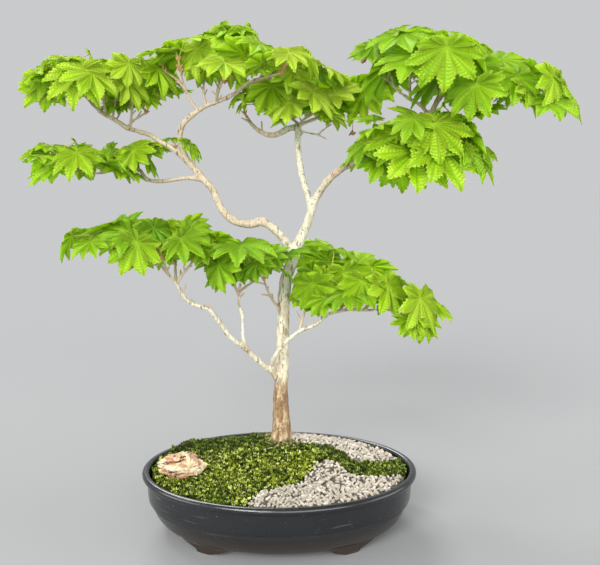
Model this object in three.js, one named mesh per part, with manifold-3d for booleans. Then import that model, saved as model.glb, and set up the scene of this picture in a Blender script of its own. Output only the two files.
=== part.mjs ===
// Maple bonsai in an oval training pot.
// Millimetres, +Z up, +X to the right; the origin is on the ground under the middle of the pot.
import * as THREE from 'three';
import { mergeVertices } from 'three/addons/utils/BufferGeometryUtils.js';
import Module from 'manifold-3d';

const wasm = await Module();
wasm.setup();

// ---- driving dimensions ----
const gap = 0.3;                 // clearance between pieces that rest on each other
const potHalfLength = 200;
const potHalfWidth = 150;
const potHeight = 90;
const potSegments = 36;
const floorTop = 13;
const footHeight = 8;
const footOuterEdge = [167, 117]; // half axes of the two ovals that bound a foot
const footInnerEdge = [142, 92];
const footSpan = [37, 63];       // where a foot starts and ends round the oval, in degrees
const drainHoleRadius = 13;
const drainHoleX = 70;
const screenSize = 46;
const screenThickness = 1.2;
const soilEdgeHeight = 76;       // soil level at the wall
const moundRise = 30;            // extra soil height under the tree
const trunkFoot = [2, 50];       // where the trunk stands in plan
const coverThickness = 10;       // moss or gravel on the soil
const coverInset = 14.5;         // rim to the edge of the moss and gravel
const leafThickness = 1.4;
const petioleRise = 14;          // how far a leaf's base stands above its shoot's tip
const petioleReach = 32;         // how far out it stands
const petioleRadius = 0.9;
const crownHalfLength = 391;      // no leaf reaches past these
const crownHalfDepth = 148;
const crownTop = 744;
const seed = 11;

const colours = {
  pot: '#25282c', screen: '#1b1c1e', soil: '#4a3a2b', moss: '#6d8a1c', gravel: '#b9b2a8',
  rock: '#c99a7c', bark: '#b9a587', leaf: '#6fae14',
};

// ---- shapes ----
function toSolid(geometry) {
  geometry.deleteAttribute('normal');
  geometry.deleteAttribute('uv');
  const merged = mergeVertices(geometry, 1e-4);
  return new wasm.Manifold(new wasm.Mesh({
    numProp: 3,
    vertProperties: new Float32Array(merged.attributes.position.array),
    triVerts: new Uint32Array(merged.index.array),
  }));
}

function toGeometry(solid) {
  const mesh = solid.getMesh();
  const geometry = new THREE.BufferGeometry();
  geometry.setAttribute('position', new THREE.BufferAttribute(mesh.vertProperties.slice(), 3));
  geometry.setIndex(new THREE.BufferAttribute(mesh.triVerts.slice(), 1));
  geometry.computeVertexNormals();
  return geometry;
}

function join(solids) {
  return solids.reduce((whole, solid) => whole.add(solid));
}

function mapVertices(geometry, place) {
  const position = geometry.attributes.position;
  const point = new THREE.Vector3();
  for (let i = 0; i < position.count; i += 1) {
    place(point.fromBufferAttribute(position, i), i);
    position.setXYZ(i, point.x, point.y, point.z);
  }
  return geometry;
}

// A closed cylinder bent along a route of [x, y, z, radius] points, with a ring for each point or fewer.
function bentCylinder(route, sides, extraRadius = 0, ringsPerPoint = 1) {
  const curve = new THREE.CatmullRomCurve3(route.map(([x, y, z]) => new THREE.Vector3(x, y, z)));
  const spans = route.length - 1;
  const steps = Math.max(1, Math.round(spans * ringsPerPoint));
  const rings = [];
  let side = new THREE.Vector3(0.3, 1, 0.2);
  for (let i = 0; i <= steps; i += 1) {
    const along = curve.getTangent(i / steps);
    side = side.clone().addScaledVector(along, -side.dot(along)).normalize();
    const across = new THREE.Vector3().crossVectors(along, side);
    const before = Math.min(Math.floor(i / steps * spans), spans - 1);
    const radius = THREE.MathUtils.lerp(route[before][3], route[before + 1][3], i / steps * spans - before);
    rings.push({ centre: curve.getPoint(i / steps), side, across, radius: radius + extraRadius });
  }
  const cylinder = new THREE.CylinderGeometry(1, 1, 1, sides, steps);
  return toSolid(mapVertices(cylinder, (point) => {
    const ring = rings[Math.round((point.y + 0.5) * steps)];
    const { x, z } = point;
    point.copy(ring.centre);
    point.addScaledVector(ring.side, z * ring.radius);
    point.addScaledVector(ring.across, x * ring.radius);
  }));
}

// The pot is oval: its wall keeps one distance from the rim, and its floor closes evenly to the middle.
function ovalWidth(halfLength) {
  const wallZone = potHalfLength - 70;
  if (halfLength > wallZone) return halfLength - potHalfLength + potHalfWidth;
  return halfLength * (wallZone - potHalfLength + potHalfWidth) / wallZone;
}

function ovalTurned(profile, segments) {
  const points = profile.map(([x, z]) => new THREE.Vector2(x, z));
  const turned = new THREE.LatheGeometry(points, segments).rotateX(Math.PI / 2);
  return mapVertices(turned, (point) => {
    const radius = Math.hypot(point.x, point.y);
    if (radius > 1e-6) point.y *= ovalWidth(radius) / radius;
  });
}

// ---- pot ----
const outerWall = [[157, 8], [170.5, 13], [181, 26], [188, 44], [191.5, 48], [193, 79]];
const innerWall = [[188, 80], [186, 50], [176, 28], [165, floorTop + 4], [154, floorTop]];

function makePot() {
  const rim = [[197, 80.5], [200, 84.5], [198, 89], [194, potHeight], [189.5, 89]];
  const profile = [[0, footHeight], ...outerWall, ...rim, ...innerWall, [0, floorTop]];
  let body = toSolid(ovalTurned(profile, potSegments));
  for (const sideX of [-1, 1]) {
    for (const sideY of [-1, 1]) body = body.add(makeFoot(sideX, sideY));
    const hole = new THREE.CylinderGeometry(drainHoleRadius, drainHoleRadius, 20, 14).rotateX(Math.PI / 2);
    body = body.subtract(toSolid(hole.translate(sideX * drainHoleX, 0, footHeight)));
  }
  return body;
}

// Each foot is a short bar that follows the oval.
function makeFoot(sideX, sideY) {
  const [start, end] = footSpan.map(THREE.MathUtils.degToRad);
  const outline = new THREE.Shape();
  outline.absellipse(0, 0, ...footOuterEdge, start, end, false);
  outline.absellipse(0, 0, ...footInnerEdge, end, start, true);
  const depth = footHeight + 4;   // the last of it lies inside the pot's floor
  const bar = new THREE.ExtrudeGeometry(outline, { depth, bevelEnabled: false, curveSegments: 4 });
  if (sideX < 0) bar.rotateZ(Math.PI);
  const mirrored = sideX * sideY < 0;
  const foot = toSolid(bar);
  return mirrored ? foot.mirror([0, 1, 0]) : foot;
}

function makeScreen(sideX) {
  const windowOffset = 10;
  const windowSize = 15;
  let plate = toSolid(new THREE.BoxGeometry(screenSize, screenSize, screenThickness));
  for (const column of [-1, 1]) {
    for (const row of [-1, 1]) {
      const window = new THREE.BoxGeometry(windowSize, windowSize, 4 * screenThickness);
      plate = plate.subtract(toSolid(window.translate(column * windowOffset, row * windowOffset, 0)));
    }
  }
  return plate.translate([sideX * drainHoleX, 0, floorTop + gap + screenThickness / 2]);
}

// ---- soil, moss and gravel ----
// The soil rises to the trunk: a long slope to the left, a shorter one to the right.
function soilTop(x, y) {
  const [trunkX, trunkY] = trunkFoot;
  const slopeX = x < trunkX ? 125 : 95;
  const slopeY = 62;
  const fallOff = ((x - trunkX) / slopeX) ** 2 + ((y - trunkY) / slopeY) ** 2;
  return soilEdgeHeight + moundRise * Math.exp(-fallOff);
}

const groundRings = [potHalfLength - coverInset, 146, 98, 50, 0];

// Raises the top of an oval body to the soil's surface, plus a lift.
function drapeTop(body, flatTop, lift) {
  return mapVertices(body, (point) => {
    if (point.z > flatTop - 0.01) point.z = soilTop(point.x, point.y) + lift;
  });
}

function makeSoil(tree) {
  const bedGap = gap + 0.2;
  const wall = innerWall.slice(1).reverse().map(([x, z]) => [x - bedGap, z + bedGap]);
  const top = groundRings.map((x) => [x, soilEdgeHeight]);
  const body = ovalTurned([[0, floorTop + bedGap], ...wall, ...top], potSegments);
  let soil = toSolid(drapeTop(body, soilEdgeHeight, 0));
  for (const sideX of [-1, 1]) {
    const pocket = new THREE.BoxGeometry(screenSize + 1, screenSize + 1, 4);
    soil = soil.subtract(toSolid(pocket.translate(sideX * drainHoleX, 0, floorTop + gap)));
  }
  return soil.subtract(tree);
}

// The layer that lies on the soil, before it is parted into moss and gravel.
function makeCover(tree) {
  const slab = (rings, lift) => {
    const profile = [[0, 0], [rings[0], 0], ...rings.map((x) => [x, soilEdgeHeight])];
    return toSolid(drapeTop(ovalTurned(profile, potSegments), soilEdgeHeight, lift));
  };
  const underside = slab([potHalfLength, ...groundRings], gap);
  return slab(groundRings, coverThickness).subtract(underside).subtract(tree);
}

// The two gravel fields in plan, counter-clockwise. Points outside the pot only close the outline.
const gravelFrontOutline = [[150, -180], [210, -34], [172, -26], [150, -34], [104, -28], [84, 2], [60, 4],
  [44, -26], [26, -62], [4, -68], [-24, -82], [-38, -118], [-42, -170]];
const gravelBackOutline = [[2, 160], [8, 110], [6, 52], [24, 34], [46, 38], [74, 48], [91, 40], [102, 25],
  [119, 14], [149, 15], [176, 28], [215, 40], [150, 170]];

function prism(outline, grow = 0) {
  const grown = outline.map(([x, y], i) => {
    const [beforeX, beforeY] = outline[(i + outline.length - 1) % outline.length];
    const [afterX, afterY] = outline[(i + 1) % outline.length];
    const tangent = new THREE.Vector2(afterX - beforeX, afterY - beforeY).normalize();
    return new THREE.Vector2(x + tangent.y * grow, y - tangent.x * grow);
  });
  const block = new THREE.ExtrudeGeometry(new THREE.Shape(grown), { depth: 100, bevelEnabled: false });
  return toSolid(block.translate(0, 0, 50));
}

// ---- rock ----
const rockCentre = [-139, -26, 101];
const rockHalf = [35, 24, 16];

function makeRock(grow = 0) {
  const lump = new THREE.IcosahedronGeometry(1, 1);
  mapVertices(lump, (point) => {
    const bumps = 1 + 0.1 * Math.sin(5 * point.x + 2 * point.z) + 0.08 * Math.cos(4 * point.y - 3 * point.x);
    const [halfX, halfY, halfZ] = rockHalf.map((half) => half * bumps + grow);
    point.multiply(new THREE.Vector3(halfX, halfY, halfZ));
  });
  return toSolid(lump.rotateZ(-0.12).translate(...rockCentre));
}

// ---- tree: routes of [x, y, z, radius] ----
const trunkRoute = [[2, 50, 60, 16], [2, 50, 84, 21], [2, 50, 100, 19.5], [2, 50, 112, 17],
  [2, 50, 126, 14.5], [1, 50, 158, 12.2], [1, 50, 189, 11], [3, 50, 220, 10], [4, 50, 259, 9.4],
  [5, 50, 297, 9.2], [6, 50, 328, 9], [9, 50, 358, 8.8], [17, 50, 382, 8.8], [24, 52, 402, 8.4],
  [31, 55, 420, 7.4], [40, 60, 439, 6.8], [46, 62, 458, 6.4], [48, 64, 474, 6]];
const limbRoutes = {
  leader_left: [[47, 63, 464, 5], [40, 68, 487, 4.8], [34, 74, 505, 4.7], [31, 80, 522, 4.7],
    [28, 86, 542, 5.4], [27, 90, 561, 4.6], [27, 94, 580, 5.2], [28, 95, 590, 4.2]],
  leader_right: [[47, 63, 464, 5.4], [57, 60, 484, 5.4], [68, 52, 501, 5.4], [81, 44, 514, 5.3],
    [96, 36, 525, 5.1], [123, 20, 537, 4.9], [152, 5, 549, 4.8], [181, -8, 564, 4.5],
    [198, -15, 578, 4.3], [207, -20, 592, 4.1], [211, -23, 604, 3.8]],
  right_pad: [[207, -20, 594, 3.4], [217, -28, 614, 3.2], [229, -35, 622, 3], [243, -42, 625, 2.8],
    [265, -50, 624, 2.5], [286, -58, 620, 2.2]],
  right_pad_left: [[206, -19, 590, 3.2], [193, -14, 606, 2.8], [177, -6, 616, 2.5], [164, 0, 627, 2.2],
    [151, 6, 640, 2], [141, 8, 648, 1.8]],
  centre_left: [[28, 94, 584, 4.6], [12, 96, 581, 4.4], [0, 100, 575, 4.4], [-14, 104, 572, 4.1],
    [-29, 108, 577, 3.7], [-43, 112, 588, 3.2], [-51, 116, 600, 2.4]],
  centre_right: [[28, 95, 586, 3], [45, 100, 593, 2.7], [63, 106, 600, 2.4], [85, 110, 606, 2],
    [100, 110, 610, 1.8]],
  centre_stub: [[28, 94, 578, 2.2], [45, 90, 574, 1.9], [58, 86, 571, 1.6], [75, 80, 562, 1.1]],
  centre_stub_up: [[56, 86, 571, 1.4], [69, 88, 582, 1.2], [84, 92, 591, 1]],
  left_limb: [[20, 52, 396, 6.4], [9, 50, 414, 6.2], [-2, 50, 428, 6], [-14, 50, 438, 6],
    [-26, 52, 444, 6.4], [-44, 56, 440, 6], [-59, 58, 442, 5.8], [-74, 60, 449, 5.6], [-86, 62, 462, 5.4],
    [-93, 64, 477, 5.2], [-100, 66, 492, 5.2], [-109, 68, 502, 5], [-118, 70, 511, 5.4],
    [-130, 72, 525, 4.8], [-142, 74, 540, 4.6]],
  left_top: [[-138, 73, 534, 4.4], [-145, 70, 554, 4.2], [-146, 66, 572, 4.2], [-141, 62, 586, 4.2],
    [-130, 60, 596, 4], [-118, 58, 604, 3.9], [-106, 56, 611, 3.6], [-91, 52, 616, 3.4],
    [-76, 48, 621, 3.2], [-61, 44, 629, 3], [-47, 40, 639, 2.7], [-36, 36, 644, 2.3], [-26, 30, 647, 1.9]],
  left_far: [[-136, 73, 532, 4.2], [-156, 76, 549, 3.8], [-174, 80, 559, 3.8], [-194, 84, 571, 3.6],
    [-212, 86, 577, 3.6], [-228, 88, 582, 3.9], [-242, 90, 591, 3.4], [-259, 92, 600, 3.2],
    [-273, 92, 610, 3], [-283, 92, 621, 2.6], [-292, 92, 630, 2]],
  left_low: [[-112, 69, 506, 3.8], [-137, 72, 508, 3.4], [-158, 76, 505, 3.2], [-180, 80, 503, 3.4],
    [-198, 82, 505, 3], [-206, 84, 513, 2.8], [-212, 86, 520, 3], [-229, 88, 522, 2.6],
    [-248, 90, 520, 2.4], [-266, 92, 516, 2.2], [-284, 92, 515, 2], [-302, 92, 519, 1.8],
    [-312, 92, 522, 1.6]],
  low_left: [[3, 48, 196, 5.2], [-9, 38, 217, 4.7], [-21, 32, 230, 4.4], [-35, 24, 245, 4.3],
    [-52, 14, 264, 4.2], [-65, 6, 276, 3.8], [-72, 2, 284, 3.8], [-82, -6, 301, 3.6],
    [-91, -12, 316, 3.4], [-99, -16, 326, 3.4], [-113, -20, 331, 3.2], [-126, -24, 338, 3],
    [-133, -28, 350, 2.8], [-141, -30, 364, 2.8], [-150, -32, 376, 2.5], [-154, -36, 388, 2.2],
    [-156, -40, 398, 1.9]],
  low_left_up: [[-48, 16, 260, 2.9], [-53, 16, 280, 2.6], [-53, 18, 300, 2.6], [-54, 20, 312, 3],
    [-59, 22, 325, 2.4], [-59, 24, 339, 2.4], [-58, 24, 350, 2.2], [-57, 22, 360, 1.8]],
  low_right: [[-10, 38, 218, 3.9], [-11, 28, 238, 3.4], [-4, 22, 253, 3.4], [11, 16, 273, 3.2],
    [30, 10, 289, 3.2], [47, 4, 297, 3], [61, 0, 307, 2.8], [70, -4, 316, 2.7], [87, -10, 322, 2.6],
    [103, -16, 325, 2.4], [122, -22, 325, 2.2], [141, -28, 327, 2], [160, -34, 327, 1.8],
    [170, -37, 328, 1.6]],
};

// Roots leave the flare and run down through the soil: each one's angle in degrees and its reach.
const roots = [[10, 75], [95, 45], [165, 75], [215, 80], [265, 80], [320, 75]];

function rootRoutes() {
  return roots.map(([angle, reach]) => {
    const turn = THREE.MathUtils.degToRad(angle);
    const at = (share, z, radius) => {
      const [x, y] = trunkFoot;
      return [x + reach * share * Math.cos(turn), y + reach * share * Math.sin(turn), z, radius];
    };
    return [at(0.03, 82, 10), at(0.24, 76, 8.5), at(0.48, 66, 6), at(0.72, 52, 4), at(1, 42, 2.5)];
  });
}

// ---- leafy shoots: a twig's route from its limb, then the directions of its leaves ----
// Directions are in degrees seen from above: 0 right, 90 back, 180 left, 270 front.
const shoots = {
  upper_left_1: { twig: [[-292, 92, 630], [-300, 92, 633]], leaves: [180, 262, 20, 110], size: 46 },
  upper_left_2: { twig: [[-283, 92, 621], [-292, 76, 634], [-303, 58, 645]],
    leaves: [205, 285, 130, 330], size: 42 },
  upper_left_3: { twig: [[-259, 92, 600], [-257, 72, 614], [-252, 48, 632]],
    leaves: [262, 195, 340, 100], size: 44 },
  upper_left_4: { twig: [[-250, 91, 596], [-247, 90, 612], [-242, 88, 632]],
    leaves: [0, 90, 180, 60], size: 40 },
  upper_left_5: { twig: [[-224, 88, 581], [-219, 80, 602], [-213, 66, 630], [-211, 62, 646]],
    leaves: [180, 270, 10, 95], size: 46 },
  upper_left_6: { twig: [[-228, 88, 582], [-220, 91, 592], [-209, 96, 600], [-202, 99, 605]],
    leaves: [0, 265, 180, 80], size: 38 },
  upper_middle_1: { twig: [[-135, 57, 634], [-150, 68, 650], [-168, 78, 662]],
    leaves: [180, 100, 275, 45], size: 42 },
  upper_middle_2: { twig: [[-118, 58, 604], [-128, 59, 618], [-134, 58, 632], [-139, 52, 647],
    [-141, 44, 662]],
    leaves: [225, 310, 135, 20], size: 42 },
  upper_middle_3: { twig: [[-106, 57, 611], [-110, 61, 632], [-108, 66, 658]],
    leaves: [260, 170, 0, 80], size: 42 },
  upper_middle_4: { twig: [[-91, 52, 616], [-89, 70, 640], [-84, 92, 672], [-80, 102, 696]],
    leaves: [10, 190, 100, 280], size: 42 },
  upper_middle_5: { twig: [[-91, 52, 616], [-86, 36, 628], [-76, 16, 644]],
    leaves: [275, 185, 5, 330], size: 44 },
  upper_middle_6: { twig: [[-26, 30, 647], [-22, 27, 656]], leaves: [255, 170, 60, 350], size: 42 },
  upper_middle_7: { twig: [[-36, 36, 644], [-14, 22, 648], [4, 6, 650]],
    leaves: [285, 0, 200, 90], size: 46 },
  upper_middle_8: { twig: [[-47, 40, 639], [-20, 48, 648], [8, 56, 650], [26, 60, 650]],
    leaves: [0, 90, 300, 190], size: 46 },
  top_centre_1: { twig: [[-51, 116, 600], [-54, 119, 605]], leaves: [180, 0, 270, 80], size: 34 },
  top_centre_2: { twig: [[28, 95, 588], [10, 98, 602], [-14, 100, 616]],
    leaves: [190, 280, 10, 100], size: 40 },
  top_centre_3: { twig: [[28, 94, 586], [36, 82, 594], [46, 64, 600]],
    leaves: [270, 180, 0, 60], size: 42 },
  top_centre_4: { twig: [[63, 106, 600], [72, 112, 606]], leaves: [260, 160, 80, 0], size: 42 },
  top_centre_5: { twig: [[100, 110, 610], [108, 110, 612]], leaves: [0, 280, 180, 90], size: 42 },
  left_middle_1: { twig: [[-312, 92, 522], [-320, 92, 525]], leaves: [185, 260, 100, 20], size: 46 },
  left_middle_2: { twig: [[-302, 92, 519], [-318, 82, 525], [-332, 70, 530]],
    leaves: [190, 250, 330, 120], size: 42 },
  left_middle_3: { twig: [[-284, 92, 515], [-285, 74, 517], [-284, 60, 519]],
    leaves: [265, 185, 350, 80], size: 42 },
  left_middle_4: { twig: [[-266, 92, 516], [-262, 106, 518], [-258, 114, 520]],
    leaves: [0, 90, 180, 270], size: 40 },
  left_middle_5: { twig: [[-212, 87, 518], [-214, 80, 526]], leaves: [275, 180, 350, 80], size: 36 },
  left_middle_6: { twig: [[-142, 74, 540], [-152, 82, 544], [-156, 92, 546]],
    leaves: [0, 180, 90, 200], size: 38 },
  low_left_1: { twig: [[-156, -40, 398], [-157, -42, 401]], leaves: [222, 180, 340, 60], size: 46 },
  low_left_2: { twig: [[-150, -32, 376], [-168, -28, 395], [-192, -14, 411]],
    leaves: [205, 280, 100, 20], size: 44 },
  low_left_3: { twig: [[-168, -28, 395], [-198, -30, 408], [-234, -30, 414]],
    leaves: [186, 250, 320, 100], size: 38 },
  low_left_4: { twig: [[-141, -30, 364], [-145, -8, 386], [-148, 22, 408]],
    leaves: [80, 170, 350, 270], size: 42 },
  low_left_5: { twig: [[-141, -30, 364], [-131, -26, 378], [-122, -22, 389], [-119, -20, 394]],
    leaves: [0, 300, 180, 90], size: 38 },
  low_middle_1: { twig: [[-59, 24, 339], [-65, 12, 356], [-76, -4, 371]],
    leaves: [200, 265, 120, 330], size: 40 },
  low_middle_2: { twig: [[-57, 22, 360], [-57, 22, 364]], leaves: [270, 170, 0, 80], size: 38 },
  low_middle_3: { twig: [[-58, 24, 344], [-47, 20, 353], [-34, 14, 362]],
    leaves: [330, 240, 60, 150], size: 36 },
  low_middle_4: { twig: [[5, 48, 308], [-11, 42, 329], [-19, 40, 347], [-23, 40, 360]],
    leaves: [0, 90, 180, 290], size: 36 },
  low_right_1: { twig: [[29, 11, 288], [33, 14, 303], [37, 18, 317], [40, 19, 332]],
    leaves: [280, 190, 20, 100], size: 42 },
  low_right_2: { twig: [[61, 0, 307], [66, 18, 330], [74, 38, 350]],
    leaves: [20, 100, 180, 300], size: 42 },
  low_right_3: { twig: [[85, -9, 321], [92, -12, 331]], leaves: [270, 180, 0, 90], size: 36 },
  low_right_4: { twig: [[120, -21, 325], [130, -23, 337]], leaves: [300, 0, 210, 90], size: 42 },
  low_right_5: { twig: [[170, -37, 328], [176, -39, 330]], leaves: [285, 0, 200, 60], size: 44 },
  right_top_1: { twig: [[141, 8, 648], [135, 8, 660]], leaves: [185, 265, 90, 350], size: 44 },
  right_top_2: { twig: [[180, -8, 613], [179, -10, 632], [178, -14, 658]],
    leaves: [100, 200, 300, 30], size: 44 },
  right_top_3: { twig: [[217, -28, 614], [213, -50, 628], [207, -76, 642]],
    leaves: [275, 190, 350, 80], size: 46 },
  right_top_4: { twig: [[209, -21, 602], [222, -8, 626], [236, 10, 645], [244, 24, 662]],
    leaves: [0, 180, 90, 270], size: 44 },
  right_top_5: { twig: [[243, -42, 625], [250, -48, 630]], leaves: [260, 0, 100, 200], size: 44 },
  right_top_6: { twig: [[243, -42, 625], [252, -64, 616], [264, -88, 608]],
    leaves: [230, 320, 140, 270], size: 38 },
  right_top_7: { twig: [[286, -58, 620], [291, -52, 624]], leaves: [0, 90, 270, 180], size: 44 },
  right_top_8: { twig: [[286, -58, 620], [306, -70, 617], [324, -77, 613]],
    leaves: [350, 285, 215, 55], size: 48 },
  right_middle_1: { twig: [[150, 6, 548], [151, 14, 545], [150, 22, 544]],
    leaves: [180, 270, 100, 210], size: 44 },
  right_middle_2: { twig: [[181, -8, 564], [177, -20, 558], [170, -28, 552]],
    leaves: [260, 200, 330, 90], size: 44 },
  right_middle_3: { twig: [[181, -8, 564], [189, -30, 562], [197, -50, 556]],
    leaves: [270, 0, 190, 310], size: 48 },
  right_middle_4: { twig: [[198, -15, 578], [216, -26, 576], [233, -38, 568]],
    leaves: [330, 270, 30, 100], size: 48 },
};

// ---- leaves ----
const lobes = [0, 48, 104, -104, -48];
const lobeLengths = { 0: 1, 48: 0.95, 104: 0.72 };
const lobeDroop = 0.26;
const notchReach = 0.48;
const baseNotchReach = 0.16;
const stemRadius = 1.6;
const stemRise = 9;

// The blade's outline as [direction, reach, fall] shares of its length, a lobe's tip and a notch in turn.
function lobeOutline() {
  return lobes.flatMap((angle, i) => {
    const next = lobes[(i + 1) % lobes.length];
    const atBase = angle > 0 && next < 0;
    const notch = atBase ? [180, baseNotchReach, 0] : [(angle + next) / 2, notchReach, 0.02];
    const reach = lobeLengths[Math.abs(angle)];
    return [[angle, reach, lobeDroop * reach], notch];
  });
}

function outlinePoints(length) {
  return lobeOutline().map(([angle, reach, fall]) => {
    const turn = THREE.MathUtils.degToRad(angle);
    return new THREE.Vector3(Math.cos(turn) * reach, Math.sin(turn) * reach, -fall).multiplyScalar(length);
  });
}

// Where the petiole meets the blade from below: two points in front, then two behind.
const footPoints = [[0.6, -0.8, -1.1], [0.6, 0.8, -1.1], [-1.5, 0.8, -0.7], [-1.5, -0.8, -0.7]];

function leafMatrix(hub, { heading, reach, rise, pitch, roll }) {
  const base = hub.clone().add(new THREE.Vector3(Math.cos(heading) * reach, Math.sin(heading) * reach, rise));
  const turn = new THREE.Matrix4().makeRotationZ(heading);
  turn.multiply(new THREE.Matrix4().makeRotationY(pitch));
  turn.multiply(new THREE.Matrix4().makeRotationX(roll));
  return turn.setPosition(base);
}

// A thicker leaf on its own, to test that a place is free.
function leafEnvelope(hub, place) {
  const matrix = leafMatrix(hub, place);
  const outline = outlinePoints(place.length);
  const cone = new THREE.ConeGeometry(1, 1, outline.length).rotateX(Math.PI / 2);
  const step = 2 * Math.PI / outline.length;
  mapVertices(cone, (point) => {
    if (Math.hypot(point.x, point.y) < 0.5) {
      point.z *= 2 * leafThickness + 1.4;
      return;
    }
    const index = Math.round((Math.atan2(point.y, point.x) + Math.PI / 2) / step) + outline.length;
    point.copy(outline[index % outline.length]);
  });
  const foot = new THREE.Vector3(-0.5, 0, -1).applyMatrix4(matrix);
  const start = hub.clone().lerp(foot, 0.06);
  const petiole = [[...start, stemRadius + gap], [...foot, petioleRadius + 2 * gap]];
  return { blade: toSolid(cone.applyMatrix4(matrix)), petiole: bentCylinder(petiole, 4) };
}

// The shoot leaves its twig's tip the same way and turns upward; its leaves spread from the top.
function stemRings({ twig }, corners) {
  const tip = new THREE.Vector3(...twig.at(-1));
  const along = tip.clone().sub(new THREE.Vector3(...twig.at(-2))).normalize();
  const upright = new THREE.Quaternion();
  const tilted = new THREE.Quaternion().setFromUnitVectors(new THREE.Vector3(0, 0, 1), along);
  const levels = [
    [gap + 0.1, 0, tilted, 1.3],
    [3.4, 0.6, tilted, 1.3],
    [6, stemRise - 3, upright, stemRadius],
    [6, stemRise, upright, stemRadius],
  ];
  return levels.map(([distance, rise, turn, radius]) => {
    const centre = tip.clone().addScaledVector(along, distance);
    centre.z += rise;
    return corners.map((angle) => new THREE.Vector3(Math.cos(angle), Math.sin(angle), 0)
      .multiplyScalar(radius).applyQuaternion(turn).add(centre));
  });
}

function shootHub({ twig }) {
  const tip = new THREE.Vector3(...twig.at(-1));
  const along = tip.clone().sub(new THREE.Vector3(...twig.at(-2))).normalize();
  return tip.addScaledVector(along, 6).add(new THREE.Vector3(0, 0, stemRise - 1.5));
}

// One closed skin: the stem is a short post with a side for each leaf, and each side runs out into a
// petiole that opens under its blade.
function makeShoot(shoot, places) {
  const hub = shootHub(shoot);
  const sorted = places.slice().sort((a, b) => a.heading - b.heading);
  const count = sorted.length;
  const corners = sorted.map(({ heading }, i) => {
    const before = i ? sorted[i - 1].heading : sorted[count - 1].heading - 2 * Math.PI;
    return (heading + before) / 2;
  });
  const points = [];
  const faces = [];
  const addRing = (ring) => ring.map((point) => points.push(point) - 1);
  const addQuad = (a, b, c, d) => faces.push([a, b, c], [a, c, d]);
  const rings = stemRings(shoot, corners).map(addRing);
  for (let i = 0; i < count; i += 1) {
    const next = (i + 1) % count;
    addQuad(rings[0][i], rings[0][next], rings[1][next], rings[1][i]);
    addQuad(rings[1][i], rings[1][next], rings[2][next], rings[2][i]);
    const matrix = leafMatrix(hub, sorted[i]);
    const foot = addRing(footPoints.map((point) => new THREE.Vector3(...point).applyMatrix4(matrix)));
    const side = [rings[2][i], rings[2][next], rings[3][next], rings[3][i]];
    side.forEach((corner, k) => addQuad(corner, side[(k + 1) % 4], foot[(k + 1) % 4], foot[k]));
    addBlade(foot, matrix, sorted[i].length, addRing, faces);
  }
  for (let i = 1; i < count - 1; i += 1) {
    faces.push([rings[0][0], rings[0][i + 1], rings[0][i]]);
    faces.push([rings[3][0], rings[3][i], rings[3][i + 1]]);
  }
  const skin = new THREE.BufferGeometry().setFromPoints(points);
  skin.setIndex(faces.flat());
  return toSolid(skin);
}

function addBlade(foot, matrix, length, addRing, faces) {
  const rim = addRing(outlinePoints(length).map((point) => point.applyMatrix4(matrix)));
  const [top] = addRing([new THREE.Vector3(0, 0, leafThickness / 2).applyMatrix4(matrix)]);
  rim.forEach((corner, i) => faces.push([top, corner, rim[(i + 1) % rim.length]]));
  const sectors = [1, 2, 3, 0];            // the foot's corners in turn, from straight ahead
  const turnAt = [0.5, 3.5, 5.5, 8.5];     // how far round the rim each of them stands
  let side = 0;
  rim.forEach((corner, i) => {
    const next = rim[(i + 1) % rim.length];
    if (i + 0.5 >= turnAt[side] && side < 4) {
      faces.push([foot[sectors[(side + 3) % 4]], foot[sectors[side]], corner]);
      side += 1;
    }
    faces.push([foot[sectors[(side + 3) % 4]], next, corner]);
  });
}

// Small seeded random numbers, the same on every run.
let randomState = seed;
function random() {
  randomState = (randomState * 16807) % 2147483647;
  return randomState / 2147483647;
}

function overlaps(solid, others) {
  const box = solid.boundingBox();
  return others.some((other) => {
    const { min, max } = other.box;
    const near = [0, 1, 2].every((axis) => box.min[axis] < max[axis] && box.max[axis] > min[axis]);
    return near && solid.intersect(other.solid).volume() > 1e-6;
  });
}

function track(solid, shoot) {
  return { solid, shoot, box: solid.boundingBox() };
}

function outsideCrown(solid) {
  const { min, max } = solid.boundingBox();
  const tooLong = min[0] < -crownHalfLength || max[0] > crownHalfLength;
  return tooLong || min[1] < -crownHalfDepth || max[1] > crownHalfDepth || max[2] > crownTop;
}

// Leaves take their places in turn, so that no shoot crowds out the next one's first leaves.
function placeLeaves(tree) {
  const blades = [];
  const stalks = [track(tree, 'tree')];
  const placed = {};
  for (const [name, shoot] of Object.entries(shoots)) {
    const hub = shootHub(shoot);
    const post = [[...shoot.twig.at(-1), stemRadius], [hub.x, hub.y, hub.z + 2, stemRadius + 2 * gap]];
    stalks.push(track(bentCylinder(post, 4), name));
    placed[name] = [];
  }
  for (let round = 0; round < 10; round += 1) {
    for (const [name, shoot] of Object.entries(shoots)) {
      const wanted = round < shoot.leaves.length;
      const sparse = round >= 4 && placed[name].length < 3;
      if (wanted) placeLeaf(name, shoot, shoot.leaves[round], round, blades, stalks, placed[name]);
      if (sparse) placeLeaf(name, shoot, 360 * random(), round, blades, stalks, placed[name]);
    }
  }
  return placed;
}

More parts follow.
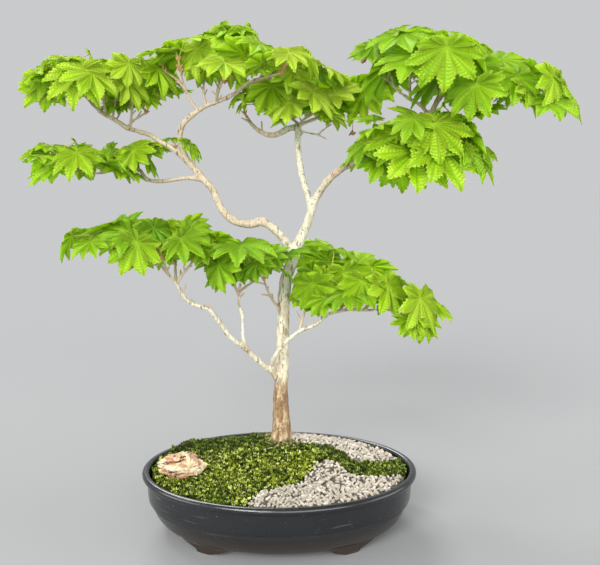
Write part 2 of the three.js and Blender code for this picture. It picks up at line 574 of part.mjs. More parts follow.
// A leaf takes the first place that is clear of the wood and of the leaves already there.
function placeLeaf(name, shoot, direction, round, blades, stalks, placed) {
  const hub = shootHub(shoot);
  const facesFront = Math.max(0, -Math.sin(THREE.MathUtils.degToRad(direction)));
  const elsewhere = stalks.filter((item) => item.shoot !== name);
  for (let attempt = 0; attempt < 120; attempt += 1) {
    const loose = attempt / 120;
    const swing = (attempt % 2 ? 1 : -1) * 70 * loose;
    const heading = direction + swing + 6 * (random() - 0.5);
    const place = {
      heading: THREE.MathUtils.degToRad((heading + 720) % 360),
      reach: petioleReach * (0.85 + 0.35 * random() + 0.2 * loose * random()),
      rise: petioleRise * (0.4 + (1 + 1.4 * loose) * random()) - 5 * (round >= 2),
      pitch: THREE.MathUtils.degToRad(32 + 20 * facesFront + (16 + 20 * loose) * (random() - 0.5)),
      roll: THREE.MathUtils.degToRad((18 + 20 * loose) * (random() - 0.5)),
      length: shoot.size * (0.92 + 0.14 * random() - 0.25 * loose) * (round < 2 ? 1 : 0.94),
    };
    const crowded = placed.some((other) => Math.cos(other.heading - place.heading) > 0.8);
    if (crowded) continue;
    const { blade, petiole } = leafEnvelope(hub, place);
    if (outsideCrown(blade) || overlaps(blade, blades) || overlaps(blade, stalks)) continue;
    if (overlaps(petiole, blades) || overlaps(petiole, elsewhere)) continue;
    blades.push(track(blade, name));
    stalks.push(track(petiole, name));
    placed.push(place);
    return;
  }
}

// ---- assembly ----
const bonsai = new THREE.Group();
bonsai.name = 'bonsai';

function addPiece(name, solid, colour, roughness) {
  const material = new THREE.MeshStandardMaterial({ color: colour, roughness, metalness: 0 });
  const mesh = new THREE.Mesh(toGeometry(solid), material);
  mesh.name = name;
  bonsai.add(mesh);
}

function makeTree(extraRadius = 0) {
  const wood = [bentCylinder(trunkRoute, 9, extraRadius)];
  rootRoutes().forEach((route) => wood.push(bentCylinder(route, 5, extraRadius)));
  if (extraRadius > 0) return join(wood);
  Object.values(limbRoutes).forEach((route) => {
    const sides = route[0][3] > 4 ? 6 : 5;
    wood.push(bentCylinder(route, sides, 0, 0.7));
  });
  Object.values(shoots).forEach(({ twig }) => {
    const taper = (i) => 2.2 - 0.7 * i / (twig.length - 1);
    wood.push(bentCylinder(twig.map(([x, y, z], i) => [x, y, z, taper(i)]), 4));
  });
  return join(wood);
}

const tree = makeTree();
const rootClearance = makeTree(gap + 0.1);
const cover = makeCover(rootClearance);
const rock = makeRock();

addPiece('pot', makePot(), colours.pot, 0.45);
addPiece('drain_screen_left', makeScreen(-1), colours.screen, 0.6);
addPiece('drain_screen_right', makeScreen(1), colours.screen, 0.6);
addPiece('soil', makeSoil(rootClearance), colours.soil, 0.95);
addPiece('gravel_front', cover.intersect(prism(gravelFrontOutline)), colours.gravel, 0.9);
addPiece('gravel_back', cover.intersect(prism(gravelBackOutline)), colours.gravel, 0.9);
const mossField = cover.subtract(prism(gravelFrontOutline, gap)).subtract(prism(gravelBackOutline, gap));
addPiece('moss', mossField.subtract(makeRock(gap)), colours.moss, 0.95);
addPiece('rock', rock, colours.rock, 0.85);
addPiece('tree', tree, colours.bark, 0.8);
for (const [name, places] of Object.entries(placeLeaves(tree))) {
  addPiece(`leaves_${name}`, makeShoot(shoots[name], places), colours.leaf, 0.5);
}

export default bonsai;
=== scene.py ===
# Maple bonsai in an oval training pot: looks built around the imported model.
# Metres, +Z up, +X to the right; routes and outlines are listed in millimetres, as the tree was measured.
import math
import random

import bpy
import numpy as np
from mathutils import Matrix, Vector, noise


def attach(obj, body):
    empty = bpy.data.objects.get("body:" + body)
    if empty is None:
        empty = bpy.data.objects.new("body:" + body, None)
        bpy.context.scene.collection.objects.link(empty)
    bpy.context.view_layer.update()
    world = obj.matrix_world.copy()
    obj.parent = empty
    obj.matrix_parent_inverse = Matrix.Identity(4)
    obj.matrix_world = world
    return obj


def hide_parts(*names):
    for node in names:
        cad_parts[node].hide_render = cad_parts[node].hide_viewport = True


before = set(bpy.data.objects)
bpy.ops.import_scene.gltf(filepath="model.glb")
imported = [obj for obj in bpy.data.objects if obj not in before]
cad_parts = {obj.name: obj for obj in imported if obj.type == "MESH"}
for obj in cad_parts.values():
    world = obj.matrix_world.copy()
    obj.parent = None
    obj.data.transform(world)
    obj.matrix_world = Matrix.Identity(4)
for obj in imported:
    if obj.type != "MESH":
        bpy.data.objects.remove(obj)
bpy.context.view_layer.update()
mm = 0.001
random.seed(5)
noise.seed_set(1795534200)   # otherwise the clock sets it, and the rock differs a little in each run


def choose(*pieces):
    bpy.ops.object.select_all(action="DESELECT")
    for piece in pieces:
        piece.select_set(True)
    bpy.context.view_layer.objects.active = pieces[0]


def startWith(add, **settings):   # a new object, with nothing else selected
    bpy.ops.object.select_all(action="DESELECT")
    add(**settings)
    return bpy.context.object


def openWhole(piece):   # edit mode with everything selected
    choose(piece)
    bpy.ops.object.mode_set(mode="EDIT")
    bpy.ops.mesh.select_all(action="SELECT")


def inEditMode(piece, step, **settings):
    openWhole(piece)
    step(**settings)
    bpy.ops.object.mode_set(mode="OBJECT")


def mergeDoubles(piece, distance=1e-6):
    inEditMode(piece, bpy.ops.mesh.remove_doubles, threshold=distance)


def faceOutwards(piece):
    inEditMode(piece, bpy.ops.mesh.normals_make_consistent, inside=False)


def modify(piece, kind, **settings):
    modifier = piece.modifiers.new(kind.title(), kind)
    for name, value in settings.items():
        setattr(modifier, name, value)
    choose(piece)
    bpy.ops.object.modifier_apply(modifier=modifier.name)


def named(piece, name):
    piece.name = piece.data.name = name
    return piece


def joined(pieces, name):
    choose(*pieces)
    if len(pieces) > 1:
        bpy.ops.object.join()
    return named(bpy.context.object, name)


def smooth(piece, upTo=None):   # all over, or only where faces meet at less than this many degrees
    choose(piece)
    if upTo:
        bpy.ops.object.shade_smooth_by_angle(angle=math.radians(upTo))
    else:
        bpy.ops.object.shade_smooth()


def settle(piece):   # the object goes to the origin and its place into its mesh
    choose(piece)
    bpy.ops.object.transform_apply(location=True, rotation=True, scale=True)


def points(piece):
    flat = np.empty(len(piece.data.vertices) * 3)
    piece.data.vertices.foreach_get("co", flat)
    return flat.reshape(-1, 3)


def movePoints(piece, places):
    piece.data.vertices.foreach_set("co", np.asarray(places, float).ravel())
    piece.data.update()


def gridPiece(columns, rows):   # a flat grid, with how far along each way its points stand, from 0 to 1
    piece = startWith(bpy.ops.mesh.primitive_grid_add, x_subdivisions=columns, y_subdivisions=rows, size=1,
        calc_uvs=True)
    places = points(piece)
    return piece, places[:, 0] + 0.5, places[:, 1] + 0.5


def paintAttribute(piece, name, values):   # one number for each point, which a finish can read
    layer = piece.data.attributes.new(name, "FLOAT", "POINT")
    layer.data.foreach_set("value", np.asarray(values, float))


def handOver(piece, slot, finish, *nodes):
    piece.data.materials.clear()
    piece.data.materials.append(finish)
    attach(piece, "root")
    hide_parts(*nodes)


def copiesOf(templates, name, places, shades):   # places: template number and matrix of each copy
    corners, faces, shade, rise, start = [], [], [], [], 0
    for (kind, matrix), own in zip(places, shades):
        shape, polygons = templates[kind]
        corners.append(shape @ np.array(matrix.to_3x3()).T + np.array(matrix.translation))
        faces.extend([[start + corner for corner in polygon] for polygon in polygons])
        shade.append(np.full(len(shape), own))
        rise.append(shape[:, 2])
        start += len(shape)
    mesh = bpy.data.meshes.new(name)
    mesh.from_pydata(np.concatenate(corners).tolist(), [], faces)
    piece = bpy.data.objects.new(name, mesh)
    bpy.context.collection.objects.link(piece)
    paintAttribute(piece, "shade", np.concatenate(shade))
    paintAttribute(piece, "rise", np.concatenate(rise))
    return piece


def inRows(values, width):
    return np.reshape(np.array(values, float), (-1, width))


def asTemplate(piece):   # the shape of a modelled piece, which is then put away
    template = points(piece), [list(polygon.vertices) for polygon in piece.data.polygons]
    bpy.data.objects.remove(piece)
    return template


class Signal:   # a socket whose sums and products add their own nodes
    def __init__(self, finish, socket):
        self.finish = finish
        self.socket = socket

    def math(self, operation, first, second):
        return self.finish.add("ShaderNodeMath", {"operation": operation}, first, second)

    def __add__(self, other):
        return self.math("ADD", self, other)

    def __sub__(self, other):
        return self.math("SUBTRACT", self, other)

    def __rsub__(self, other):
        return self.math("SUBTRACT", other, self)

    def __mul__(self, other):
        return self.math("MULTIPLY", self, other)

    def __abs__(self):
        return self.math("ABSOLUTE", self, 0)

    def fromMiddle(self):   # 0 in the middle of each unit, 1 at its ends
        return abs(self.math("FRACT", self, 0) - 0.5) * 2

    __radd__ = __add__
    __rmul__ = __mul__


class Finish:
    def __init__(self, name, **constants):
        self.material = bpy.data.materials.new(name)
        self.material.use_nodes = True
        self.tree = self.material.node_tree
        self.surface = self.tree.nodes["Principled BSDF"]
        self.output = self.tree.nodes["Material Output"]
        self.set(**constants)
        self.place = self.add("ShaderNodeTexCoord", output="Object")

    def set(self, **sockets):
        for name, value in sockets.items():
            self.feed(self.surface.inputs[name.replace("_", " ")], value)

    def feed(self, socket, value):
        if isinstance(value, Signal):
            self.tree.links.new(value.socket, socket)
        elif value is not None:
            socket.default_value = value

    def add(self, kind, settings=None, *values, output=0, **named):
        node = self.tree.nodes.new(kind)
        for name, value in (settings or {}).items():
            if name == "stops":
                self.setStops(node.color_ramp, value)
            else:
                setattr(node, name, value)
        for index, value in enumerate(values):
            self.feed(node.inputs[index], value)
        for name, value in named.items():
            self.feed(node.inputs[name.replace("_", " ")], value)
        return Signal(self, node.outputs[output])

    def setStops(self, ramp, stops):
        while len(ramp.elements) < len(stops):
            ramp.elements.new(0.5)
        for element, (position, colour) in zip(ramp.elements, stops):
            element.position = position
            element.color = (*colour, 1)

    def noise(self, scale, detail=4, stretch=None, roughness=0.55, distortion=0):
        place = self.add("ShaderNodeMapping", {}, self.place, Scale=stretch) if stretch else self.place
        return self.add("ShaderNodeTexNoise", {}, place, Scale=scale, Detail=detail, Roughness=roughness,
            Distortion=distortion)

    def axis(self, name, place=None):
        return self.add("ShaderNodeSeparateXYZ", {}, place or self.place, output="xyz".index(name))

    def between(self, signal, low, high):   # 0 below low, 1 above high
        return self.add("ShaderNodeMapRange", {"interpolation_type": "SMOOTHSTEP"}, signal, low, high, 0, 1)

    def mix(self, share, first, second):
        node = self.add("ShaderNodeMix", {"data_type": "RGBA"}, share, output=2)
        for index, colour in ((6, first), (7, second)):
            self.feed(node.socket.node.inputs[index], colour if isinstance(colour, Signal) else (*colour, 1))
        return node

    def over(self, tone, *coats):   # each coat is a share and a colour
        for share, colour in coats:
            tone = self.mix(share, tone, colour)
        return tone

    def spots(self, low, high, *scale, **shape):   # where the noise rises from low to high
        return self.between(self.noise(*scale, **shape), low, high)

    def ramp(self, signal, *stops):
        return self.add("ShaderNodeValToRGB", {"stops": stops}, signal)

    def attribute(self, name):
        return self.add("ShaderNodeAttribute", {"attribute_name": name}, output="Fac")

    def bump(self, height, depth, onto=None):
        return self.add("ShaderNodeBump", {}, Height=height, Distance=depth, Strength=1, Normal=onto)


def twoTone(name, roughness, mottle, colours, grain, depth):
    finish = Finish(name, Roughness=roughness)
    tone = finish.mix(finish.noise(*mottle), *colours)
    finish.set(Base_Color=tone, Normal=finish.bump(finish.noise(*grain), depth * mm))
    return finish.material


# the same mound and outlines as the solids, in millimetres
ground = {
    "potHalf": (200, 150), "edge": 185.5, "edgeHeight": 76, "rise": 30,
    "trunk": (2, 50), "slope": (125, 95, 62),
    "gravelFront": [(150, -180), (210, -34), (172, -26), (150, -34), (104, -28), (84, 2), (60, 4),
        (44, -26), (26, -62), (4, -68), (-24, -82), (-38, -118), (-42, -170)],
    "gravelBack": [(2, 160), (8, 110), (6, 52), (24, 34), (46, 38), (74, 48), (91, 40), (102, 25),
        (119, 14), (149, 15), (176, 28), (215, 40), (150, 170)],
}


def ovalWidth(halfLength):   # the oval keeps one wall distance near the rim and closes evenly to the middle
    halfPot, halfDepth = ground["potHalf"]
    wallZone = halfPot - 70
    inner = halfLength * (wallZone - halfPot + halfDepth) / wallZone
    return np.where(np.asarray(halfLength) > wallZone, np.asarray(halfLength) - halfPot + halfDepth, inner)


groundHalf = ground["edge"], float(ovalWidth(ground["edge"]))


def soilTop(x, y):
    trunkX, trunkY = ground["trunk"]
    left, right, across = ground["slope"]
    slope = np.where(x < trunkX, left, right)
    return ground["edgeHeight"] + ground["rise"] * np.exp(-((x - trunkX) / slope) ** 2 - ((y - trunkY) / across) ** 2)


def insideOutline(x, y, outline):
    inside = np.zeros(np.shape(x), bool)
    for (x0, y0), (x1, y1) in zip(outline, outline[1:] + outline[:1]):
        if y0 != y1:
            crosses = (np.asarray(y) > min(y0, y1)) & (np.asarray(y) <= max(y0, y1))
            inside ^= crosses & (x < (x1 - x0) * (y - y0) / (y1 - y0) + x0)
    return inside


def insidePot(x, y, inset=0):
    halfX, halfY = groundHalf
    return (x / (halfX - inset)) ** 2 + (y / (halfY - inset)) ** 2 < 1


def fieldOf(x, y):   # 0 moss, 1 front gravel, 2 back gravel
    back = np.where(insideOutline(x, y, ground["gravelBack"]), 2, 0)
    return np.where(insideOutline(x, y, ground["gravelFront"]), 1, back)


def noiseAt(x, y, size, octaves=3):
    return np.array([noise.fractal(Vector((a / size, b / size, 0)), 1.0, 2.1, octaves) for a, b in zip(x, y)])


def groundBed(name, field, spacing, lift, roughness):
    # a closed slab on the soil over one field, its top lifted and roughened
    halfX, halfY = groundHalf
    columns, rows = int(2 * halfX / spacing), int(2 * halfY / spacing)
    piece, u, v = gridPiece(columns, rows)
    x, y = (2 * u - 1) * halfX, (2 * v - 1) * halfY
    wave = 1.5 * noiseAt(x, y, size=14, octaves=2)
    kept = insidePot(x, y) & (fieldOf(x + wave, y + wave) == field)
    z = soilTop(x, y) + lift + roughness(x, y)
    movePoints(piece, np.column_stack([x, y, z]) * mm)
    choose(piece)
    bpy.ops.object.mode_set(mode="EDIT")
    bpy.ops.mesh.select_mode(type="VERT")
    bpy.ops.mesh.select_all(action="DESELECT")
    bpy.ops.object.mode_set(mode="OBJECT")
    piece.data.vertices.foreach_set("select", ~kept)
    bpy.ops.object.mode_set(mode="EDIT")
    bpy.ops.mesh.delete(type="VERT")
    bpy.ops.mesh.select_all(action="SELECT")
    bpy.ops.mesh.region_to_loop()
    bpy.ops.mesh.extrude_region_move(TRANSFORM_OT_translate={"value": (0, 0, -(lift - 1) * mm)})
    bpy.ops.mesh.edge_face_add()
    bpy.ops.object.mode_set(mode="OBJECT")
    return named(piece, name)


# rings of half length and height from the middle of the underside over the rim to the inner floor
pot = {
    "segments": 120,
    "underside": [[60, 8], [110, 8], [150, 8]],
    "wall": [[157.5, 8.6], [163.5, 10.6], [170.2, 14.6], [176.6, 20.5], [181.6, 28.5], [185.2, 36.5], [187.6, 43.3],
        [188.8, 45.5], [191, 46.8], [191.8, 49.5], [192.4, 60], [192.7, 70], [193, 77.6]],
    "rim": [[193.4, 79.2], [195.4, 79.8], [198.4, 80.8], [199.9, 83.2], [200, 86], [198.8, 88.7], [196.2, 90],
        [192.6, 89.9], [190.2, 88.6], [188.8, 85.6]],
    "inside": [[188.2, 80], [187.4, 66], [186, 50], [181.8, 38], [176, 28], [168, 19.4], [158, 14], [148, 13],
        [100, 13], [60, 13]],
    "hole": 13, "holeX": 70,
    "footOuter": (167.5, 117.5), "footInner": (142, 92), "footHeight": 12.6,
    # how far round the oval a foot reaches at some shares of its height
    "footShares": (0, 0.08, 0.34, 0.42, 0.72, 1), "footStarts": (48.2, 47.8, 47.2, 46.6, 40.5, 36.5),
    "footEnds": (55, 56.5, 60.5, 62, 64.4, 65.5),
}


def makePotBody():
    first = pot["underside"][0]
    body = startWith(bpy.ops.mesh.primitive_circle_add, vertices=pot["segments"], radius=1, fill_type="NGON",
        location=(0, 0, first[1] * mm))
    body.scale = (first[0] * mm, float(ovalWidth(first[0])) * mm, 1)
    settle(body)
    openWhole(body)
    bpy.ops.mesh.flip_normals()
    bpy.ops.mesh.select_mode(type="EDGE")
    bpy.ops.mesh.region_to_loop()
    before = first
    for ring in [*pot["underside"][1:], *pot["wall"], *pot["rim"], *pot["inside"]]:
        wider = float(ring[0] / before[0]), float(ovalWidth(ring[0]) / ovalWidth(before[0])), 1
        bpy.ops.mesh.extrude_region_move(TRANSFORM_OT_translate={"value": (0, 0, (ring[1] - before[1]) * mm)})
        bpy.ops.transform.resize(value=wider, center_override=(0, 0, ring[1] * mm))
        before = ring
    bpy.ops.mesh.edge_face_add()
    bpy.ops.object.mode_set(mode="OBJECT")
    faceOutwards(body)
    return body


def makeFoot(sideX, sideY):
    # a bar bent round the oval, its ends sloping in to the ground
    foot = startWith(bpy.ops.mesh.primitive_cube_add, size=1)
    inEditMode(foot, bpy.ops.mesh.subdivide, number_cuts=9)
    along, across, up = (points(foot) + 0.5).T
    start, end = (np.radians(np.interp(up, pot["footShares"], pot[way])) for way in ("footStarts", "footEnds"))
    turn = start + (end - start) * along
    lean = 3 * (1 - up) * (across - 0.5)
    halfX, halfY = (inner + (outer - inner) * across - lean
        for inner, outer in zip(pot["footInner"], pot["footOuter"]))
    places = np.column_stack([sideX * halfX * np.cos(turn), sideY * halfY * np.sin(turn), up * pot["footHeight"]])
    movePoints(foot, places * mm)
    mergeDoubles(foot)
    faceOutwards(foot)
    modify(foot, "BEVEL", width=0.9 * mm, segments=3, limit_method="ANGLE", angle_limit=math.radians(50))
    return foot


def makePot():
    body = makePotBody()
    modify(body, "SUBSURF", levels=1, render_levels=1)
    for sideX in (-1, 1):
        drill = startWith(bpy.ops.mesh.primitive_cylinder_add, vertices=48, radius=pot["hole"] * mm,
            depth=30 * mm, location=(sideX * pot["holeX"] * mm, 0, 10 * mm))
        modify(body, "BOOLEAN", operation="DIFFERENCE", object=drill, solver="EXACT")
        bpy.data.objects.remove(drill)
    feet = [makeFoot(sideX, sideY) for sideX in (-1, 1) for sideY in (-1, 1)]
    piece = joined([body, *feet], "training_pot")
    smooth(piece, upTo=40)
    handOver(piece, "pot", potPlastic(), "pot")


def potPlastic():
    finish = Finish("potPlastic", Specular_IOR_Level=0.7)
    cloud = finish.noise(18, 5)
    dust = finish.spots(0.58, 0.74, 150, 6, roughness=0.7)
    specks = finish.spots(0.73, 0.78, 300, 2)
    scuffs = finish.spots(0.64, 0.69, 26, 7, stretch=(0.5, 0.5, 8), distortion=0.8)
    height = finish.axis("z")
    lower = 1 - finish.between(height, 0.012, 0.055)   # the lower wall is rougher and painted warm brown, a painted reflection
    crease = finish.between(height, 0.041, 0.0435) * (1 - finish.between(height, 0.0475, 0.0485))
    tone = finish.mix(cloud, (0.003, 0.004, 0.005), (0.009, 0.011, 0.014))
    # warm brown on the lower wall: a painted reflection
    tone = finish.over(tone, (lower * (0.4 + cloud * 0.5), (0.034, 0.020, 0.010)),
        (dust * 0.16, (0.12, 0.12, 0.12)), (scuffs * 0.3, (0.13, 0.135, 0.14)), (specks * 0.5, (0.36, 0.34, 0.30)))
    finish.set(Base_Color=tone, Roughness=0.17 + cloud * 0.12 + dust * 0.2 + lower * 0.14 + crease * 0.5)
    mould = finish.bump(finish.noise(46, 2), 0.5 * mm)
    finish.set(Normal=finish.bump(finish.noise(900, 3) * 0.6 + scuffs * 0.4, 0.1 * mm, onto=mould))
    return finish.material


screen = {"size": 46, "cells": 14, "wire": 1.2, "height": 13.9, "x": 70}


def makeScreens():
    black = twoTone("screenPlastic", 0.6, (300,), ((0.012, 0.012, 0.013), (0.04, 0.04, 0.038)), (900,), 0.1)
    for sideX, side in ((-1, "left"), (1, "right")):
        piece, u, v = gridPiece(screen["cells"], screen["cells"])
        flat = np.column_stack([u - 0.5, v - 0.5, 0 * u]) * screen["size"]
        movePoints(piece, (flat + [sideX * screen["x"], 0, screen["height"]]) * mm)
        modify(piece, "WIREFRAME", thickness=screen["wire"] * mm, use_even_offset=False)
        handOver(named(piece, "mesh_" + side), "screen", black, "drain_screen_" + side)


def finishSoil():
    soil = Finish("pottingMix", Roughness=0.95)
    crumbs = soil.add("ShaderNodeTexVoronoi", {}, soil.place, Scale=420, output="Distance")
    tone = soil.mix(soil.noise(90), (0.035, 0.02, 0.012), (0.12, 0.075, 0.045))
    soil.set(Base_Color=soil.mix(soil.spots(0.62, 0.7, 500), tone, (0.3, 0.22, 0.15)))
    soil.set(Normal=soil.bump(crumbs, 1.2 * mm))
    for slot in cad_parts["soil"].material_slots:
        slot.material = soil.material


moss = {
    # a lift is a height above the mound of soil
    "spacing": 1.8, "cushion": (26, 3.0), "grain": (4.5, 1.4), "bedLift": 7.4, "tuftLift": 6.6,
    # it stands over the rim at the left and below it behind: where, how wide, how high
    "mounds": [(-150, 70, 32, 5.5), (-48, 142, 52, -6.5)],
    "tufts": 8800, "tuftHeight": 4.6, "tuftRadius": 1.85, "leaves": 5, "kinds": 4, "trunkGap": 19,
    "straws": 9, "strawLift": 11.2,
}


def mossRoughness(x, y):
    (cushionSize, cushionHeight), (grainSize, grainHeight) = moss["cushion"], moss["grain"]
    grown = sum(high * np.exp(-((x - moundX) / wide) ** 2 - ((y - moundY) / wide) ** 2)
        for moundX, moundY, wide, high in moss["mounds"])
    return grown + cushionHeight * noiseAt(x, y, cushionSize, 2) + grainHeight * noiseAt(x, y, grainSize)


def makeTuft():   # a small star of upturned pointed leaves
    tuft = startWith(bpy.ops.mesh.primitive_cone_add, vertices=2 * moss["leaves"], radius1=1, radius2=0, depth=1)
    places = points(tuft)
    for i, (x, y, z) in enumerate(places):
        if z > 0:
            places[i] = (0, 0, 0.55)
        elif round(math.atan2(y, x) / math.pi * moss["leaves"]) % 2 == 0:
            places[i] = (x, y, random.uniform(0.8, 1.15))
        else:
            places[i] = (0.34 * x, 0.34 * y, 0.2)
    movePoints(tuft, places)
    return asTemplate(tuft)


def makeMoss():
    bed = groundBed("moss_bed", 0, moss["spacing"], moss["bedLift"], mossRoughness)
    smooth(bed)
    handOver(bed, "moss", mossGreen(), "moss")
    places, shades = [], []
    halfX, halfY = groundHalf
    while len(places) < moss["tufts"]:
        x, y = random.uniform(-halfX, halfX), random.uniform(-halfY, halfY)
        if not openMoss(x, y, 1.5):
            continue
        z = float(soilTop(x, y)) + moss["tuftLift"] + float(mossRoughness(np.array([x]), np.array([y]))[0])
        size = random.uniform(0.7, 1.3)
        tilt = Matrix.Rotation(random.uniform(0, 0.7), 4, Vector((random.uniform(-1, 1), random.uniform(-1, 1), 0)))
        spin = Matrix.Rotation(random.uniform(0, math.tau), 4, "Z")
        wide, high = moss["tuftRadius"] * size, moss["tuftHeight"] * size * random.uniform(0.8, 1.3)
        grow = Matrix.Diagonal((wide, wide, high, 1))
        place = Matrix.Scale(mm, 4) @ Matrix.Translation((x, y, z)) @ tilt @ spin @ grow
        places.append((random.randrange(moss["kinds"]), place))
        shades.append(random.random())
    tufts = copiesOf([makeTuft() for _ in range(moss["kinds"])], "moss_tufts", places, shades)
    handOver(tufts, "moss", mossGreen(onTufts=True), "moss")
    print("moss", len(places), "tufts")


def openMoss(x, y, inset):   # in the moss field, clear of the trunk and this far from the pot
    trunkX, trunkY = ground["trunk"]
    clear = (x - trunkX) ** 2 + (y - trunkY) ** 2 >= moss["trunkGap"] ** 2
    return clear and insidePot(x, y, inset) and fieldOf(x, y) == 0


def makeStraws():   # dry stems and needles that lie on the moss
    straws = []
    while len(straws) < moss["straws"]:
        x, y = random.uniform(-130, 20), random.uniform(-120, 40)
        if not openMoss(x, y, 12):
            continue
        z = float(soilTop(x, y)) + moss["strawLift"]
        heading, length = random.uniform(0, math.pi), random.uniform(4, 9)
        alongX, alongY = length / 2 * math.cos(heading), length / 2 * math.sin(heading)
        middle = [x + random.uniform(-1, 1), y + random.uniform(-1, 1), z + 1, 0.5]
        end = [x + alongX, y + alongY, z + random.uniform(-1, 1.5), 0.35]
        route = [[x - alongX, y - alongY, z, 0.35], middle, end]
        straws.append(rollTube(curveThrough(route, 2), 5))
    piece = joined(straws, "dry_straws")
    smooth(piece)
    dry = twoTone("dryStem", 0.8, (60,), ((0.42, 0.33, 0.19), (0.78, 0.72, 0.52)), (900,), 0.1)
    handOver(piece, "moss", dry, "moss")


def mossGreen(onTufts=False):
    finish = Finish("mossTufts" if onTufts else "mossBed", Roughness=0.8, Specular_IOR_Level=0.25)
    patches = finish.noise(24, 4, distortion=0.4)
    fine = finish.noise(230, 3)
    across, depth = finish.axis("x"), finish.axis("y")
    shaded = finish.between(depth + patches * 0.04, 0.030, 0.065) * 0.9   # painted shade: darker behind the trunk
    strip = finish.between(across + patches * 0.05, 0.075, 0.11) * 0.65   # darker between the gravel fields
    shadeAndDarkStrip = finish.between(shaded + strip, 0, 1)
    dark = finish.mix(patches, (0.004, 0.012, 0.001), (0.012, 0.022, 0.002))
    bright = finish.mix(finish.between(patches, 0.36, 0.62), (0.17, 0.27, 0.007), (0.42, 0.50, 0.026))
    # the bright green turns dark green under the painted shade behind the trunk and on the dark strip
    bright = finish.mix(shadeAndDarkStrip * 0.9, bright, (0.052, 0.10, 0.004))
    fromTrunkX, fromTrunkY = (way - place * mm for way, place in zip((across, depth), ground["trunk"]))
    away = fromTrunkX * fromTrunkX + fromTrunkY * fromTrunkY
    dead = (1 - finish.between(away, 0.0002, 0.0014)) * finish.between(fine, 0.46, 0.54)   # dry strands at the trunk
    if onTufts:
        shade = finish.attribute("shade")
        tip = finish.between(finish.attribute("rise"), 0.35, 0.9)
        tone = finish.mix(tip * finish.between(shade + fine * 0.5, 0.3, 1.05), dark, bright)
        # pale tips on some tufts: a painted highlight for glints on the moss
        pale = finish.between(shade, 0.74, 0.86) * finish.between(tip, 0.4, 0.9) * (1 - shadeAndDarkStrip * 0.75)
        tone = finish.over(tone, (pale * 0.9, (0.68, 0.74, 0.22)), (dead * tip * 0.75, (0.50, 0.42, 0.22)))
        finish.set(Base_Color=tone)
    else:
        tone = finish.mix(finish.between(fine, 0.4, 0.75) * 0.3, dark, bright)
        brown = finish.spots(0.6, 0.7, 45, 5)
        tone = finish.over(tone, (brown * 0.5, (0.05, 0.035, 0.012)), (dead * 0.8, (0.30, 0.24, 0.12)))
        finish.set(Base_Color=tone)
    finish.set(Normal=finish.bump(finish.noise(900, 2), 0.4 * mm))
    return finish.material


# an upper and a lower layer of grains on a bed of grit
gravel = {
    "step": 5.3, "size": (2.2, 3.4), "kinds": 12, "skip": 0.26, "bedSpacing": 2.4, "bedLift": 6.5,
    "layers": ((6.4, (0, 0.34)), (9.6, (0.48, 1))),   # how high each lies and its shades: darker below, a painted shade in the gaps between the upper grains, lighter above
}


def makeGrain():   # a broken grain with flat faces
    grain = startWith(bpy.ops.mesh.primitive_uv_sphere_add, segments=6, ring_count=4, radius=1)
    places = points(grain)
    long, wide, high = random.uniform(1.1, 1.7), random.uniform(0.7, 0.95), random.uniform(0.6, 0.85)
    for place in places:
        place *= random.uniform(0.66, 1.12)
        place *= (long, wide, high)
    movePoints(grain, places)
    inEditMode(grain, bpy.ops.mesh.convex_hull)
    faceOutwards(grain)
    return asTemplate(grain)


def makeGravel():
    random.seed(5)
    stone = gravelStone()
    grit = twoTone("fineGrit", 0.95, (500, 3), ((0.03, 0.027, 0.024), (0.20, 0.185, 0.17)), (700, 3), 0.8)
    for number, side in ((1, "front"), (2, "back")):
        bed = groundBed("grit_" + side, number, gravel["bedSpacing"], gravel["bedLift"],
            lambda x, y: 0.9 * noiseAt(x, y, 3))
        handOver(bed, "gravel", grit, "gravel_" + side)
        kinds = [makeGrain() for _ in range(gravel["kinds"])]
        places, shades = [], []
        for layer, (lift, shade) in enumerate(gravel["layers"]):
            for x, y in grainPlaces(number, layer):
                if layer and random.random() < gravel["skip"]:
                    continue
                z = float(soilTop(x, y)) + lift + random.uniform(-0.5, 0.7)
                size = random.uniform(*gravel["size"])
                turn = Matrix.Rotation(random.uniform(0, math.tau), 4, "Z")
                tip = Matrix.Rotation(random.gauss(0, 0.7), 4, "X") @ Matrix.Rotation(random.gauss(0, 0.6), 4, "Y")
                place = Matrix.Translation((x, y, z)) @ turn @ tip @ Matrix.Scale(size, 4)
                places.append((random.randrange(len(kinds)), Matrix.Scale(mm, 4) @ place))
                # the lower layer's dark shades are a painted shade
                shades.append(random.uniform(*shade))
        grains = copiesOf(kinds, "gravel_grains_" + side, places, shades)
        handOver(grains, "gravel", stone, "gravel_" + side)
        print("gravel", side, len(places), "grains")


def grainPlaces(number, layer):
    step = gravel["step"]
    halfX, halfY = groundHalf
    for row in range(int(2 * halfY / step / 0.866)):
        for column in range(int(2 * halfX / step)):
            x = -halfX + (column + 0.5 * (row % 2) + 0.5 * layer) * step + random.uniform(-1.3, 1.3)
            y = -halfY + row * step * 0.866 + random.uniform(-1.3, 1.3)
            if insidePot(x, y, 2.5) and fieldOf(x, y) == number:
                yield x, y


def gravelStone():
    finish = Finish("graniteGrit", Specular_IOR_Level=0.35)
    shade = finish.attribute("shade")
    # the dark end of the ramp colours the lower grains as painted shade
    tone = finish.ramp(shade, (0.0, (0.09, 0.076, 0.06)), (0.3, (0.23, 0.20, 0.158)), (0.5, (0.42, 0.37, 0.30)),
        (0.86, (0.55, 0.495, 0.415)), (1.0, (0.69, 0.63, 0.545)))
    flecks, veins = finish.spots(0.58, 0.66, 900, 4), finish.spots(0.6, 0.66, 300, 5, distortion=1.5)
    tone = finish.over(tone, (flecks * 0.4, (0.15, 0.125, 0.10)), (veins * 0.3, (0.66, 0.56, 0.42)))
    finish.set(Base_Color=tone, Roughness=0.75 + shade * 0.2)
    finish.set(Normal=finish.bump(finish.noise(1300, 3), 0.25 * mm))
    return finish.material


